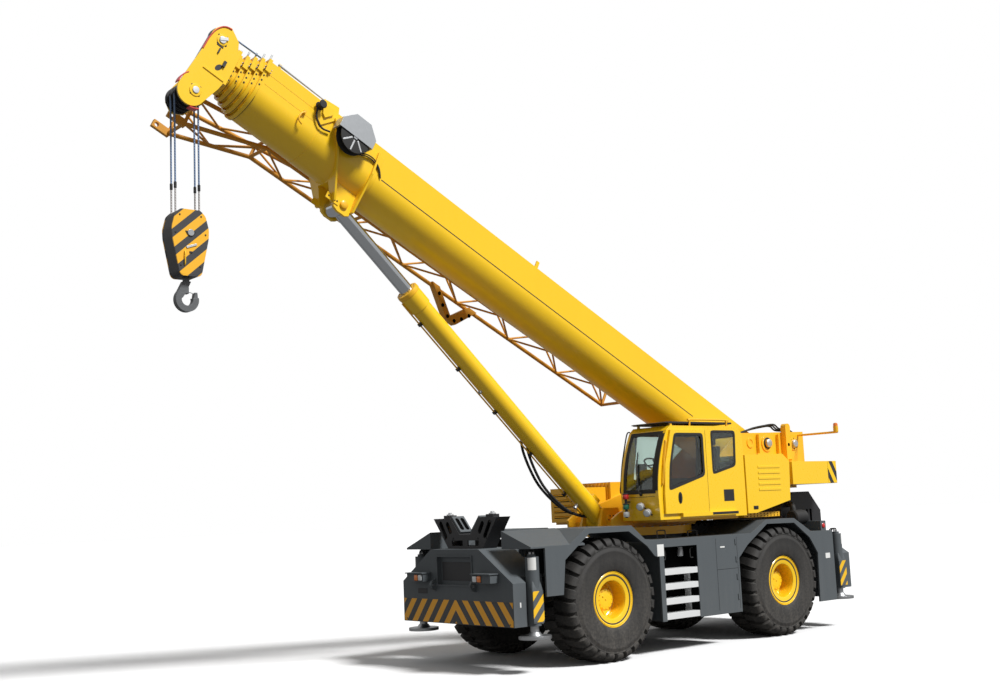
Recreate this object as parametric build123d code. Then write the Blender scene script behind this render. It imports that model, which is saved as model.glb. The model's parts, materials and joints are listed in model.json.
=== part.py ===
# Rough-terrain mobile crane on two steered axles, with a five-section telescopic boom.
# Millimetres. X points forward, Y to the crane's left (the cab's side), Z up from the ground.
# The model is laid out from the point midway between the axles. At the end it is moved along X
# so that the origin lies under the middle of its whole length.
from build123d import *
import math
import os

os.makedirs("parts", exist_ok=True)

# Clearances
seat_gap = 0.3          # between two pieces that rest on each other and move
pin_gap = 0.4           # round a pin or a shaft
run_gap = 6.0           # between moving pieces that only pass each other

# Axles, wheels and steering
wheelbase = 4075.0
track = 2260.0
tyre_radius = 915.0     # to the lug tips, so also the wheel centre's height
tyre_width = 750.0
carcass_radius = 852.0
rim_seat_radius = 330.0
rim_flange_radius = 400.0
rim_width = 678.0
rim_wall = 14.0
rim_mouth_radius = 275.0    # the opening of the dished front ring
rim_dish = 36.0
lug_count = 28          # in each of the two rows
lug_width = 138.0
hub_radius = 190.0
hub_nose_radius = 152.0
spindle_radius = 110.0
kingpin_y = 880.0
kingpin_radius = 45.0
yoke_height = 185.0     # from the wheel centre to the inside of the yoke
yoke_plate = 40.0
axle_tube_radius = 130.0
differential_radius = 225.0

# Carrier
frame_half_width = 380.0
frame_top = 1700.0
frame_bottom = 950.0
frame_nose_bottom = 1000.0
axle_arch_z = 1175.0
cross_arm = (1200.0, 1500.0)
deck_floor = 40.0
skirt_y = 1500.0
skirt_plate = 30.0
deck_plate = 25.0
inner_deck_y = 400.0
side_box_inner_y = 800.0
side_box_top = 1742.0
side_box_bottom = 498.0
side_box_front = wheelbase / 2 - 1062.5
side_box_rear = 1176.5 - wheelbase / 2
fender_top = 1985.0
rear_fender_top = 1950.0
deck_edge_z = 1765.0
tail_deck_z = 1700.0
step_count = 4
step_depth = 230.0
step_height = 90.0
step_pitch = 225.0
recess_front = side_box_front - 45
recess_length = 770.0
recess_rear = recess_front - recess_length

# Outriggers. The rear ones are the front ones turned round and moved back by rear_offset.
axle_to_box = 1162.5
box_inner = wheelbase / 2 + axle_to_box
box_front = box_inner + 660
box_bottom = 660.0
box_top = 1750.0
box_half_width = 1326.0
box_shoulder_z = 1270.0
box_top_half_width = 580.0
shoulder_x = box_inner + 420
shoulder_y = 1200.0
rear_offset = 290.0
rear_box = -box_inner - rear_offset
panel_half_width = 410.0
panel_z = (1230.0, 1640.0)
panel_depth = 60.0
tow_lug_y = 485.0
tow_lug_plate = 40.0
tow_lug_reach = 110.0
tow_eye_radius = 26.0
tow_eye_z = 1225.0
beam_width = 160.0
beam_height = 300.0
beam_bottom = 950.0
beam_inner_y = 1150.0
beam_wall = 30.0
left_beam_x = box_inner + 240
right_beam_x = box_inner + 40
beam_plate = 40.0
beam_plate_edge = 20.0
jack_x = box_inner + 290
jack_y = 1330.0
jack_tube_radius = 100.0
jack_rod_radius = 62.0
jack_bottom = 660.0
jack_top = 1625.0
float_radius = 235.0
float_bottom = 480.0
float_height = 45.0

# Slewing ring and turntable
ring_radius = 850.0
ring_top = 1860.0
base_radius = 950.0
base_top = 1930.0
platform_bottom = 2000.0
platform_top = 2040.0
cheek_inner_y = 500.0
cheek_plate = 45.0
cheek_rear = -4100.0
lift_slot_half_width = 185.0
ear_plate = 50.0

# Boom. Its own frame has s along the boom from the foot pin and t square to it, upwards.
boom_pivot_x = -3000.0
boom_pivot_z = 3300.0
boom_pitch = 27.4
boom_half_width = 380.0
boom_crown = 55.0
boom_belly = -790.0
boom_wall = 12.0
boom_tail = -300.0
boom_front = 11320.0
section_step = 38.0     # each section is this much smaller all round
section_count = 5
collar_pitch = 88.0
collar_length = 52.0
collar_height = 20.0
section_length = 10700.0
foot_boss_radius = 150.0
foot_pin_radius = 75.0

# Stowed jib, along the right side of the boom
jib_gap = 110.0
jib_width = 510.0
jib_start = 2700.0
jib_bay = 600.0
jib_bays = 15
jib_top = -120.0
jib_low = -510.0
jib_top_knee = jib_start + 10 * jib_bay
jib_low_knee = jib_start + 13 * jib_bay

# Head, ropes and hook
head_s = 11990.0
head_upper_t = -122.0
head_lower_t = -989.0
head_half_width = 330.0
head_right_y = -222.0       # the inside of the short right plate
head_plate = 25.0
head_radius = 235.0
sheave_radius = 180.0
sheave_groove = 155.5
sheave_width = 52.0
sheave_pitch = 120.0
sheave_shaft = 45.0
shaft_end = 18.0
rope_radius = 12.0
upper_sheave_y = head_half_width - head_plate - sheave_width / 2 - 4
block_sheave_z = 6060.0
block_rise = 312.0          # from the block's sheaves to its top
block_height = 889.0
block_width = 524.0
block_half_thickness = 150.0
block_plate = 20.0
block_band = 14.0
hook_shank = 45.0
hook_drop = 290.0           # from the block's foot to the middle of the hook's bowl
hook_radius = 162.0
hook_bowl = 80.0

# Luffing cylinder
lift_pin_s = 9350.0
lift_pin_t = -990.0
lift_foot_x = 800.0
lift_foot_z = 2070.0
lift_foot_radius = 160.0
lift_eye_radius = 130.0
lift_pin_radius = 60.0
lift_bore = 125.0
lift_barrel_radius = 155.0
lift_rod_radius = 105.0
lift_barrel_length = 5160.0
lift_bore_start = 340.0
lift_rod_start = 1610.0   # the rod's inner end at rest, from the foot

# Cab
cab_inner_y = 620.0
cab_outer_y = 1432.0
cab_bottom = 2040.0
cab_top = 3520.0
cab_front = 900.0
cab_rear = -1220.0
cab_wall = 40.0
door_plate = 36.0
door_front = 790.0
door_rear = -240.0
door_bottom = 2130.0
door_top = 3450.0
glass_plate = 8.0

nodes = {}


def block(x, y, z):
    """A box given by its low and high values along each axis."""
    middle = Pos((x[0] + x[1]) / 2, (y[0] + y[1]) / 2, (z[0] + z[1]) / 2)
    return middle * Box(x[1] - x[0], y[1] - y[0], z[1] - z[0])


def side_prism(outline, y):
    """A closed outline of (x, z) points, extruded between two values of y."""
    face = Plane.XZ.offset(-y[1]) * make_face(Polyline(*outline, close=True))
    return extrude(face, amount=y[1] - y[0])


def cross_prism(outline, x):
    """A closed outline of (y, z) points, extruded between two values of x."""
    face = Plane.YZ.offset(x[0]) * make_face(Polyline(*outline, close=True))
    return extrude(face, amount=x[1] - x[0])


def shaft(start, end, radius):
    """A round bar between two points."""
    axis = Vector(*end) - Vector(*start)
    return extrude(Plane(origin=start, z_dir=axis) * Circle(radius), amount=axis.length)


def cross_shaft(x, z, radius, y):
    """A round bar along Y between two values of y."""
    return shaft((x, y[0], z), (x, y[1], z), radius)


def band(line, thickness):
    """The closed outline of a plate whose upper surface follows a line of (x, z) points."""
    return list(line) + [(x, z - thickness) for x, z in reversed(line)]


def other_side(shape):
    """The same shape on the other side of the crane."""
    return mirror(shape, about=Plane.XZ)


def turned_to_rear(shape):
    """A front outrigger piece, turned round for the rear."""
    return Pos(-rear_offset, 0, 0) * mirror(shape, about=Plane.YZ)


def together(*shapes):
    """Separate solids kept as one node."""
    return Compound([solid for shape in shapes for solid in shape.solids()])


def keep(name, shape):
    """Keeps a finished node under its name."""
    nodes[name] = shape


# Tyres, rims, knuckles and axles

def make_rim():
    """A deep-dished rim with its hub, round the Y axis, open side towards +Y."""
    outer = rim_width / 2
    lip = outer - rim_wall
    inside = rim_seat_radius - rim_wall
    disc = (20.0, 50.0)
    hub_back = -120.0
    hub_front = 168.0
    bore_end = 60.0
    edge = 12.0
    bore = spindle_radius + pin_gap
    outline = [
        (bore, hub_back), (hub_radius, hub_back), (hub_radius, disc[0]), (inside, disc[0]),
        (inside, -outer), (rim_flange_radius, -outer), (rim_flange_radius, -lip),
        (rim_seat_radius, -lip), (rim_seat_radius, lip), (rim_flange_radius, lip),
        (rim_flange_radius, outer), (rim_flange_radius - edge, outer), (rim_mouth_radius, outer - rim_dish),
        (rim_mouth_radius, disc[1]), (hub_radius, disc[1]), (hub_nose_radius, disc[1] + 40),
        (hub_nose_radius, hub_front - edge), (hub_nose_radius - edge, hub_front),
        (0, hub_front), (0, bore_end), (bore, bore_end),
    ]
    return revolve(make_face(Polyline(*outline, close=True)), Axis.Y)


def make_tyre():
    """A tyre with two staggered rows of shoulder lugs, round the Y axis."""
    half = tyre_width / 2
    bead_y = rim_width / 2 - rim_wall - seat_gap
    bead = rim_seat_radius + seat_gap
    shoulder = (790.0, half - 35)
    tread_y = half - 90
    side = ThreePointArc((rim_flange_radius + 5, bead_y), (590, half), shoulder)
    rest = Polyline(shoulder, (carcass_radius, tread_y), (carcass_radius, 0), (bead, 0),
                    (bead, bead_y), (rim_flange_radius + 5, bead_y))
    carcass = revolve(make_face(side + rest), Axis.Y)
    root = carcass_radius - 12
    lug_top = math.sqrt(tyre_radius ** 2 - (lug_width / 2) ** 2)
    lug_side = [(root, 12), (lug_top, 12), (lug_top, tread_y + 5), (800, half - 3), (760, half - 30)]
    lug_face = make_face(Polyline(*lug_side, close=True))
    lug = Pos(0, 0, -lug_width / 2) * extrude(lug_face, amount=lug_width)
    half_tyre = carcass + [Rot(0, i * 360 / lug_count, 0) * lug for i in range(lug_count)]
    stagger = Rot(0, 180 / lug_count, 0)
    return half_tyre + stagger * mirror(half_tyre, about=Plane.XZ)


def make_knuckle():
    """The left steering knuckle, with its origin at the wheel centre."""
    pin = kingpin_y - track / 2
    housing_radius = 84.0
    flange_radius = 150.0
    top = yoke_height - run_gap
    housing = shaft((0, pin, -top), (0, pin, top), housing_radius)
    pins = shaft((0, pin, -yoke_height - yoke_plate), (0, pin, yoke_height + yoke_plate), kingpin_radius)
    spindle = shaft((0, pin, 0), (0, 54, 0), spindle_radius)
    flange = shaft((0, pin + 84, 0), (0, -120 - run_gap, 0), flange_radius)
    return housing + pins + spindle + flange


def make_axle():
    """An axle beam with a yoke at each end, round the Y axis."""
    yoke_inner = kingpin_y - 150
    block_outer = kingpin_y - 84 - run_gap
    reach = yoke_height + yoke_plate
    half_depth = 90.0
    tube = cross_shaft(0, 0, axle_tube_radius, (-yoke_inner, yoke_inner))
    bowl = Sphere(differential_radius)
    cover = shaft((-differential_radius - 40, 0, 0), (differential_radius + 40, 0, 0), 130)
    axle = tube + bowl + cover
    pad_top = axle_arch_z - tyre_radius
    for side in (-1, 1):
        web = block((-half_depth, half_depth), sorted((side * yoke_inner, side * block_outer)), (-reach, reach))
        axle += web
        for low in (yoke_height, -reach):
            arm = block((-half_depth, half_depth),
                        sorted((side * yoke_inner, side * (kingpin_y + 80))), (low, low + yoke_plate))
            axle += arm
        hole = shaft((0, side * kingpin_y, -reach - 1), (0, side * kingpin_y, reach + 1), kingpin_radius + pin_gap)
        axle -= hole
        pad = block((-110, 110), sorted((side * 240, side * 360)), (60, pad_top))
        axle += pad
    return axle


rim = make_rim()
tyre = make_tyre()
knuckle = make_knuckle()
axle = make_axle()
for end, end_x in (("front", wheelbase / 2), ("rear", -wheelbase / 2)):
    keep(f"{end}_axle", Pos(end_x, 0, tyre_radius) * axle)
    for side, to_side in (("left", lambda s: s), ("right", other_side)):
        place = Pos(end_x, track / 2, tyre_radius)
        keep(f"{end}_{side}_rim", to_side(place * rim))
        keep(f"{end}_{side}_tyre", to_side(place * tyre))
        keep(f"{end}_{side}_knuckle", to_side(place * knuckle))


# Carrier frame

def make_frame():
    """The welded main frame, with cross arms to the side boxes and the pedestal."""
    # From the axle: the way along X, and the height of the lower edge.
    arch = [(710, frame_nose_bottom), (460, axle_arch_z), (-490, axle_arch_z), (-840, frame_bottom)]
    axle_x = wheelbase / 2
    front = [(axle_x + dx, z) for dx, z in arch]
    rear = [(-axle_x - dx, z) for dx, z in reversed(arch)]
    outline = [(box_inner, frame_top), (box_inner, frame_nose_bottom), *front, *rear,
               (rear_box, frame_nose_bottom), (rear_box, frame_top)]
    frame = side_prism(outline, (-frame_half_width, frame_half_width))
    arm_width = 200.0
    for x in (side_box_rear + 260, side_box_front - 375 - arm_width):
        frame += block((x, x + arm_width), (-side_box_inner_y, side_box_inner_y), cross_arm)
    frame += block((side_box_rear, side_box_front), (-side_box_inner_y, side_box_inner_y),
                   (frame_top - deck_floor, frame_top))
    pedestal = shaft((0, 0, frame_top), (0, 0, ring_top - 60), ring_radius - 60)
    ring = shaft((0, 0, ring_top - 60), (0, 0, ring_top), ring_radius)
    return frame + pedestal + ring


def make_bodywork():
    """The left side: both fenders with their skirts, the sloped front deck and the step box."""
    axle_x = wheelbase / 2
    tail_x = rear_box + 40
    nose_x = box_inner + 180
    lip_x = side_box_front + 55
    skirt = (skirt_y - skirt_plate, skirt_y)

    def from_front(*points):
        return [(axle_x + dx, z) for dx, z in points]

    def from_rear(*points):
        return [(-axle_x + dx, z) for dx, z in points]

    front_line = from_front((860, deck_edge_z), (520, fender_top), (-430, fender_top), (-710, deck_edge_z))
    front_line.append((lip_x, side_box_top))
    front_arch = from_front((-910, 1500), (-750, 1660), (-370, 1900), (460, 1905), (960, 1550), (1020, 1060))
    front_skirt = [(nose_x, 1060), (nose_x, deck_edge_z), *front_line, (lip_x, 1480), *front_arch]
    rear_line = [(side_box_rear, side_box_top)]
    rear_line += from_rear((840, side_box_top), (420, rear_fender_top), (-340, rear_fender_top),
                           (-810, tail_deck_z))
    rear_line.append((tail_x, tail_deck_z))
    rear_arch = from_rear((-920, 490), (-950, 1330), (-750, 1600), (-340, 1870), (400, 1880), (940, 1560))
    rear_skirt = [*rear_line, (tail_x, 490), *rear_arch, (side_box_rear, 1360)]
    deck = (inner_deck_y, skirt_y - skirt_plate)
    body = side_prism(front_skirt, skirt) + side_prism(rear_skirt, skirt)
    body += side_prism(band(front_line, deck_plate), deck)
    body += side_prism(band(rear_line, deck_plate), deck)
    low = deck_edge_z - deck_plate
    wedge_y = 860.0
    wedge_z = 2000.0
    wedge = [(wedge_y, low), (wedge_y, wedge_z), (skirt_y, deck_edge_z), (skirt_y, low)]
    under = [(wedge_y + deck_plate, low - 1), (wedge_y + deck_plate, wedge_z - 40), (skirt_y - skirt_plate, low)]
    wedge_x = (axle_x + 560, box_inner + 450)
    body += cross_prism(wedge, wedge_x) - cross_prism(under, (wedge_x[0] + deck_plate, wedge_x[1] - 550))
    box = block((side_box_rear, side_box_front), (side_box_inner_y, skirt_y), (side_box_bottom, side_box_top))
    lip = block((side_box_front, lip_x), skirt, (side_box_bottom, side_box_top))
    recess = block((recess_rear, recess_front), (skirt_y - step_depth - 60, skirt_y + 1),
                   (side_box_bottom - 1, side_box_top - 120))
    rear_locker = block((tail_x, tail_x + 330), (600, skirt_y - skirt_plate), (560, tail_deck_z - 20))
    return body + (box + lip - recess) + rear_locker


def beam_way():
    """The notch that lets the right front beam and its end plate slide out through the skirt."""
    gap = run_gap + beam_plate_edge
    return block((right_beam_x - run_gap, box_inner + 200), (-skirt_y - 1, -skirt_y + skirt_plate + 1),
                 (beam_bottom - gap, beam_bottom + beam_height + gap))


def make_steps():
    """Four aluminium treads in the left recess, hung on two hangers."""
    gap = seat_gap
    back = skirt_y - step_depth
    steps = None
    lowest = side_box_bottom + 20
    for i in range(step_count):
        low = lowest + i * step_pitch
        tread = block((recess_rear + gap, recess_front - gap), (back, skirt_y - 10), (low, low + step_height))
        steps = tread if steps is None else steps + tread
    top = lowest + (step_count - 1) * step_pitch + step_height
    for x in (recess_rear + gap, recess_front - gap - 25):
        steps += block((x, x + 25), (back - 59, back + 60), (lowest, top))
    return steps


keep("carrier_frame", make_frame())
bodywork = make_bodywork()
keep("left_bodywork", bodywork)
keep("right_bodywork", other_side(bodywork) - beam_way())
steps = make_steps()
keep("steps", together(steps, other_side(steps)))


# Outrigger boxes, beams and jacks

def beam_slot(low_x, gap):
    """The x and z ranges of a slot for a beam: the beam's own size with a gap at its sides and above."""
    return (low_x - gap, low_x + beam_width + gap), (beam_bottom, beam_bottom + beam_height + gap)


def beam_size(low_x):
    """The x and z ranges of a beam, which rests on its slot's floor."""
    return (low_x, low_x + beam_width), (beam_bottom + seat_gap, beam_bottom + beam_height)


def make_outrigger_box():
    """The front outrigger box, with sloped shoulders, beam slots and a recessed front panel."""
    def outline(half):
        slope = (box_top - box_shoulder_z) / (box_half_width - box_top_half_width)
        edge = box_top - slope * (half - box_top_half_width)
        return [(-half, box_bottom), (half, box_bottom), (half, edge), (box_top_half_width, box_top),
                (-box_top_half_width, box_top), (-half, edge)]

    housing = cross_prism(outline(box_half_width), (shoulder_x, box_front))
    housing += cross_prism(outline(shoulder_y), (box_inner, shoulder_x))
    for low_x, side in ((left_beam_x, 1), (right_beam_x, -1)):
        x, z = beam_slot(low_x, run_gap)
        y = sorted((-side * (beam_inner_y + run_gap), side * (shoulder_y + 1)))
        housing -= block(x, y, z)
    low, high = panel_z
    panel = [(-panel_half_width, low), (panel_half_width, low), (panel_half_width, high), (-panel_half_width, high)]
    housing -= cross_prism(panel, (box_front - panel_depth, box_front + 1))
    reach = box_front + tow_lug_reach
    lug_outline = [(box_front, tow_eye_z - 90), (reach - 30, tow_eye_z - 60), (reach, tow_eye_z - 15),
                   (reach, tow_eye_z + 15), (reach - 30, tow_eye_z + 60), (box_front, tow_eye_z + 90)]
    for side in (-1, 1):
        y = sorted((side * (tow_lug_y - tow_lug_plate / 2), side * (tow_lug_y + tow_lug_plate / 2)))
        housing += side_prism(lug_outline, y)
        housing -= cross_shaft(reach - tow_eye_radius - 25, tow_eye_z, tow_eye_radius, (y[0] - 1, y[1] + 1))
    return housing


def make_beam(low_x, side):
    """One outrigger beam with its end plate and jack tube. side is 1 on the left, -1 on the right."""
    x, z = beam_size(low_x)
    plate_y = shoulder_y + 5
    y = sorted((-side * beam_inner_y, side * plate_y))
    beam = block(x, y, z)
    core = block((x[0] + beam_wall, x[1] - beam_wall), (y[0] - 1, y[1] + 1), (z[0] + beam_wall, z[1] - beam_wall))
    beam -= core
    plate_x = (min(x[0], jack_x - 95), max(x[1], jack_x + 95))
    beam += block(plate_x, sorted((side * plate_y, side * (plate_y + beam_plate))),
                  (z[0] - beam_plate_edge, z[1] + beam_plate_edge))
    tube = shaft((jack_x, side * jack_y, jack_bottom), (jack_x, side * jack_y, jack_top), jack_tube_radius)
    cap = shaft((jack_x, side * jack_y, jack_top), (jack_x, side * jack_y, jack_top + 35), 62)
    web = block((jack_x - 70, jack_x + 70), sorted((side * (plate_y + beam_plate - 5), side * jack_y)), z)
    bore = shaft((jack_x, side * jack_y, jack_bottom - 1), (jack_x, side * jack_y, jack_top - 60),
                 jack_rod_radius + pin_gap)
    return beam + tube + web + cap - bore


def make_jack(side):
    """A jack rod with its round float."""
    x, y = jack_x, side * jack_y
    rod = shaft((x, y, float_bottom + float_height), (x, y, jack_top - 70), jack_rod_radius)
    disc = shaft((x, y, float_bottom), (x, y, float_bottom + float_height), float_radius)
    neck = Pos(x, y, float_bottom + float_height + 25) * Cone(110, 75, 50)
    return rod + disc + neck


front_box = make_outrigger_box()
keep("front_outrigger_box", front_box)
keep("rear_outrigger_box", turned_to_rear(front_box))
for side, sign, low_x in (("left", 1, left_beam_x), ("right", -1, right_beam_x)):
    beam = make_beam(low_x, sign)
    jack = make_jack(sign)
    keep(f"front_{side}_beam", beam)
    keep(f"front_{side}_jack", jack)
    keep(f"rear_{side}_beam", turned_to_rear(beam))
    keep(f"rear_{side}_jack", turned_to_rear(jack))


# Boom rest, engine and lamps

def make_boom_rest():
    """A slotted V on the front box, open in the middle for the luffing cylinder."""
    plate = 22.0
    arm_top = 2205.0
    x = (box_inner + 180, box_inner + 440)
    outline = [(-420, box_top), (420, box_top), (770, arm_top), (350, arm_top), (130, 1960),
               (-130, 1960), (-350, arm_top), (-770, arm_top)]
    inside = [(-390, box_top + plate), (390, box_top + plate), (712, arm_top - plate), (372, arm_top - plate),
              (148, 1930), (-148, 1930), (-372, arm_top - plate), (-712, arm_top - plate)]
    rest = cross_prism(outline, x) - cross_prism(inside, (x[0] + plate, x[1] - plate))
    for side in (-1, 1):
        for y, z, length in ((390, 2060, 130), (535, 2030, 230)):
            lean = Plane(origin=(x[0] - 80, side * y, z), x_dir=(0, side * 0.62, 1), z_dir=(1, 0, 0))
            rest -= extrude(lean * SlotCenterToCenter(length, 76), amount=500)
        rest -= cross_prism([(side * 60, 1790), (side * 320, 1790), (side * 330, 1870), (side * 60, 1870)],
                            (x[0] - 1, x[1] + 1))
        rest += block((x[0] + 70, x[1] - 70), sorted((side * 430, side * 600)), (arm_top, arm_top + 45))
    return rest


def make_hood():
    """The engine hood, a sheet shell open below, with louvre slots in its sides."""
    low = box_top
    sheet = 20.0
    half_width = 800.0
    x = (rear_box - 630, rear_box + 540)
    outline = [(x[1], low), (x[1], 2150), (x[1] - 400, 2400), (x[0] + 320, 2400), (x[0], 2050), (x[0], low)]
    inner = [(x[1] - sheet, low - 1), (x[1] - sheet, 2140), (x[1] - 405, 2400 - sheet), (x[0] + 330, 2400 - sheet),
             (x[0] + sheet, 2040), (x[0] + sheet, low - 1)]
    hood = side_prism(outline, (-half_width, half_width))
    hood -= side_prism(inner, (sheet - half_width, half_width - sheet))
    for i in range(6):
        slot_x = rear_box + 190 - i * 110
        hood -= block((slot_x, slot_x + 60), (-half_width - 1, half_width + 1), (1800, 2080))
    return hood


def make_lamps():
    """Two hooded front lamp boxes and two tail lamp boxes."""
    solids = []
    for side in (-1, 1):
        y = sorted((side * 600, side * 1010))
        lamp = block((box_front, box_front + 150), y, (1275, 1395))
        visor = block((box_front, box_front + 180), (y[0] - 15, y[1] + 15), (1395, 1410))
        solids.append(lamp + visor)
        tail = block((rear_box + 50, rear_box + 200), sorted((side * 1020, side * 1380)),
                     (tail_deck_z, tail_deck_z + 170))
        solids.append(tail)
    return together(*solids)


keep("boom_rest", make_boom_rest())
keep("engine_hood", make_hood())
keep("engine_block", block((rear_box + 20, rear_box + 490), (-420, 420), (frame_top, 2100)))
keep("lamps", make_lamps())


# Turntable

def make_turntable():
    """The slewing base, platform arms, the two tall cheeks, the lift ears and the boom foot pin."""
    base = shaft((0, 0, ring_top + seat_gap), (0, 0, base_top), base_radius)
    deck_y = (-cheek_inner_y - cheek_plate, cheek_inner_y + cheek_plate)
    deck = block((-900, 880), deck_y, (base_top, platform_top))
    deck += block((-2200, 880), deck_y, (platform_bottom, platform_top))
    arms = block((-1150, 600), (-1300, 1300), (platform_bottom, platform_top))
    arms += block((-2200, -1300), (-1300, 1300), (platform_bottom, platform_top))
    body = base + deck + arms
    cheek = [
        (1030, base_top), (1050, 2080), (900, 2170), (300, 2330), (-1200, 2760), (-2200, 3480),
        (cheek_rear, 3520), (cheek_rear, 2950), (-3800, 2950), (-3800, 2480), (-2750, 2480),
        (-2250, 2060), (-2200, platform_bottom), (-1000, platform_bottom), (-900, base_top),
    ]
    cheek_outer_y = cheek_inner_y + cheek_plate
    post = block((-3580, -3440), (cheek_outer_y, cheek_outer_y + 110), (3000, 3590))
    post += cross_shaft(-3510, 3590, 70, (cheek_outer_y, cheek_outer_y + 110))
    for side in (-1, 1):
        body += side_prism(cheek, sorted((side * cheek_inner_y, side * cheek_outer_y)))
    body += post
    floor = block((-3800, -2800), (-cheek_inner_y, cheek_inner_y), (2480, 2530))
    body += floor
    slot = block((430, 1200), (-lift_slot_half_width, lift_slot_half_width), (ring_top - 1, 2600))
    body -= slot
    ear = [(480, base_top), (600, lift_foot_z + 190), (950, lift_foot_z + 190), (1060, base_top)]
    for side in (-1, 1):
        y = sorted((side * lift_slot_half_width, side * (lift_slot_half_width + ear_plate)))
        body += side_prism(ear, y)
        boss = sorted((side * (lift_slot_half_width + ear_plate), side * (lift_slot_half_width + ear_plate + 40)))
        body += cross_shaft(lift_foot_x, lift_foot_z, 95, boss)
    pin = cross_shaft(boom_pivot_x, boom_pivot_z, foot_pin_radius, (-cheek_outer_y - 60, cheek_outer_y + 60))
    bosses = cross_shaft(boom_pivot_x, boom_pivot_z, foot_boss_radius, (cheek_outer_y, cheek_outer_y + 20))
    return body + pin + bosses + other_side(bosses)


def make_winch():
    """The hoist winch drum between the cheeks."""
    x, z = -3810.0, 3285.0
    reach = cheek_inner_y - seat_gap
    drum = cross_shaft(x, z, 165, (-reach, reach))
    for side in (-1, 1):
        drum += cross_shaft(x, z, 240, sorted((side * 390, side * 430)))
    return drum


def make_counterweight():
    """A slab across the tail with a wing along each cheek."""
    y = 1300.0
    z = (2530.0, 2930.0)
    slab = block((-4000, -3800 - seat_gap), (-y, y), z)
    inner = cheek_inner_y + cheek_plate + seat_gap
    for side in (-1, 1):
        wing = [(-3801, side * inner), (-3801, side * y), (-2700, side * y), (-2800, side * inner)]
        face = Plane.XY.offset(z[0]) * make_face(Polyline(*wing, close=True))
        slab += extrude(face, amount=z[1] - z[0])
    return slab


def make_side_cover():
    """The pressed cover behind the cab, with raised ribs on its outer face."""
    inner = cheek_inner_y + cheek_plate + seat_gap
    outline = [(cab_rear - 15, 2070), (-1460, 2070), (-2390, 2260), (-2430, 2930), (-2250, 3060),
               (cab_rear - 15, 3040)]
    cover = side_prism(outline, (inner, 1450))
    for i in range(5):
        z = 2440 + i * 95
        cover += block((-2150, -1560), (1450, 1458), (z, z + 38))
    return cover


def make_deck_boxes():
    """The two boxes on the right platform: a louvred one in front, a ribbed one behind."""
    inner = -cheek_inner_y - cheek_plate - seat_gap
    front = block((0, 700), (-1300, -640), (platform_top, 2620))
    for i in range(5):
        z = 2110 + i * 92
        front -= block((680, 701), (-1230, -710), (z, z + 42))
    rear = block((-2200, -20), (-1400, inner), (platform_top, 2700))
    for i in range(9):
        y = -1370 + i * 90
        rear += block((-20, -2), (y, y + 45), (2640, 2695))
    return front + rear


def make_lamp_bar():
    """A working lamp on a bar out from the left cheek."""
    start = cheek_inner_y + cheek_plate + seat_gap
    bar = cross_shaft(-3950, 3450, 20, (start, 1420))
    lamp = shaft((-3950, 1390, 3450), (-3950, 1390, 3560), 45)
    return bar + lamp


keep("turntable", make_turntable())
keep("winch_drum", make_winch())
keep("counterweight", make_counterweight())
keep("side_cover", make_side_cover())
keep("deck_boxes", make_deck_boxes())
keep("lamp_bar", make_lamp_bar())


# Cab

def cab_profile(inset):
    """The cab's side outline of (x, z), moved inwards by inset, with its curved front."""
    low = cab_bottom + inset
    high = cab_top - inset
    rear = cab_rear + inset
    front = cab_front - inset
    nose = ThreePointArc((front, low + 380), (front - 60, low + 870), (front - 270, high - 70))
    rest = Polyline((front - 270, high - 70), (front - 360, high), (rear + 110, high), (rear, high - 130),
                    (rear, low), (front - 20, low), (front, low + 380))
    return make_face(nose + rest)


def cab_form(inset, y):
    """The cab's outline as a solid between two values of y."""
    return extrude(Plane.XZ.offset(-y[1]) * cab_profile(inset), amount=y[1] - y[0])


def cab_openings(grow):
    """The cutters for the glazed openings, each larger than its pane by grow."""
    front = block((450, cab_front + 50), (cab_inner_y + 70 - grow, cab_outer_y - 70 + grow),
                  (cab_bottom + 430 - grow, cab_top - 95 + grow))
    low = cab_bottom
    quarter_outline = [(-430 + grow, 3440 + grow), (-1030 - grow, 3440 + grow), (-1000 - grow, 2870 - grow),
                       (-430 + grow, 2740 - grow)]
    quarter = side_prism(quarter_outline, (cab_outer_y - cab_wall - 1, cab_outer_y + 1))
    right_outline = [(480 + grow, 3430 + grow), (-1000 - grow, 3430 + grow), (-1000 - grow, low + 620 - grow),
                     (640 + grow, low + 620 - grow)]
    right = side_prism(right_outline, (cab_inner_y - 1, cab_inner_y + cab_wall + 1))
    rear = block((cab_rear - 1, cab_rear + cab_wall + 1),
                 (cab_inner_y + 120 - grow, cab_outer_y - 120 + grow), (2950 - grow, 3350 + grow))
    roof = block((-500 - grow, 350 + grow), (cab_inner_y + 120 - grow, cab_outer_y - 120 + grow),
                 (cab_top - cab_wall - 1, cab_top + 1))
    return front, quarter, right, rear, roof


def door_outline(inset):
    """The door's outline of (x, z), its front edge following the windscreen pillar."""
    return [(door_rear + inset, door_bottom + inset), (door_front - inset, door_bottom + inset),
            (door_front - inset, 2450), (door_front - 40 - inset, 2900),
            (door_front - 210 - inset, door_top - inset), (door_rear + inset, door_top - inset)]


def door_window(inset):
    """The door's window outline of (x, z)."""
    return [(door_rear + 70 + inset, 3390 - inset), (500 - inset, 3390 - inset), (640 - inset, 2880),
            (680 - inset, 2500 + inset), (door_rear + 70 + inset, 2720 + inset)]


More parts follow.
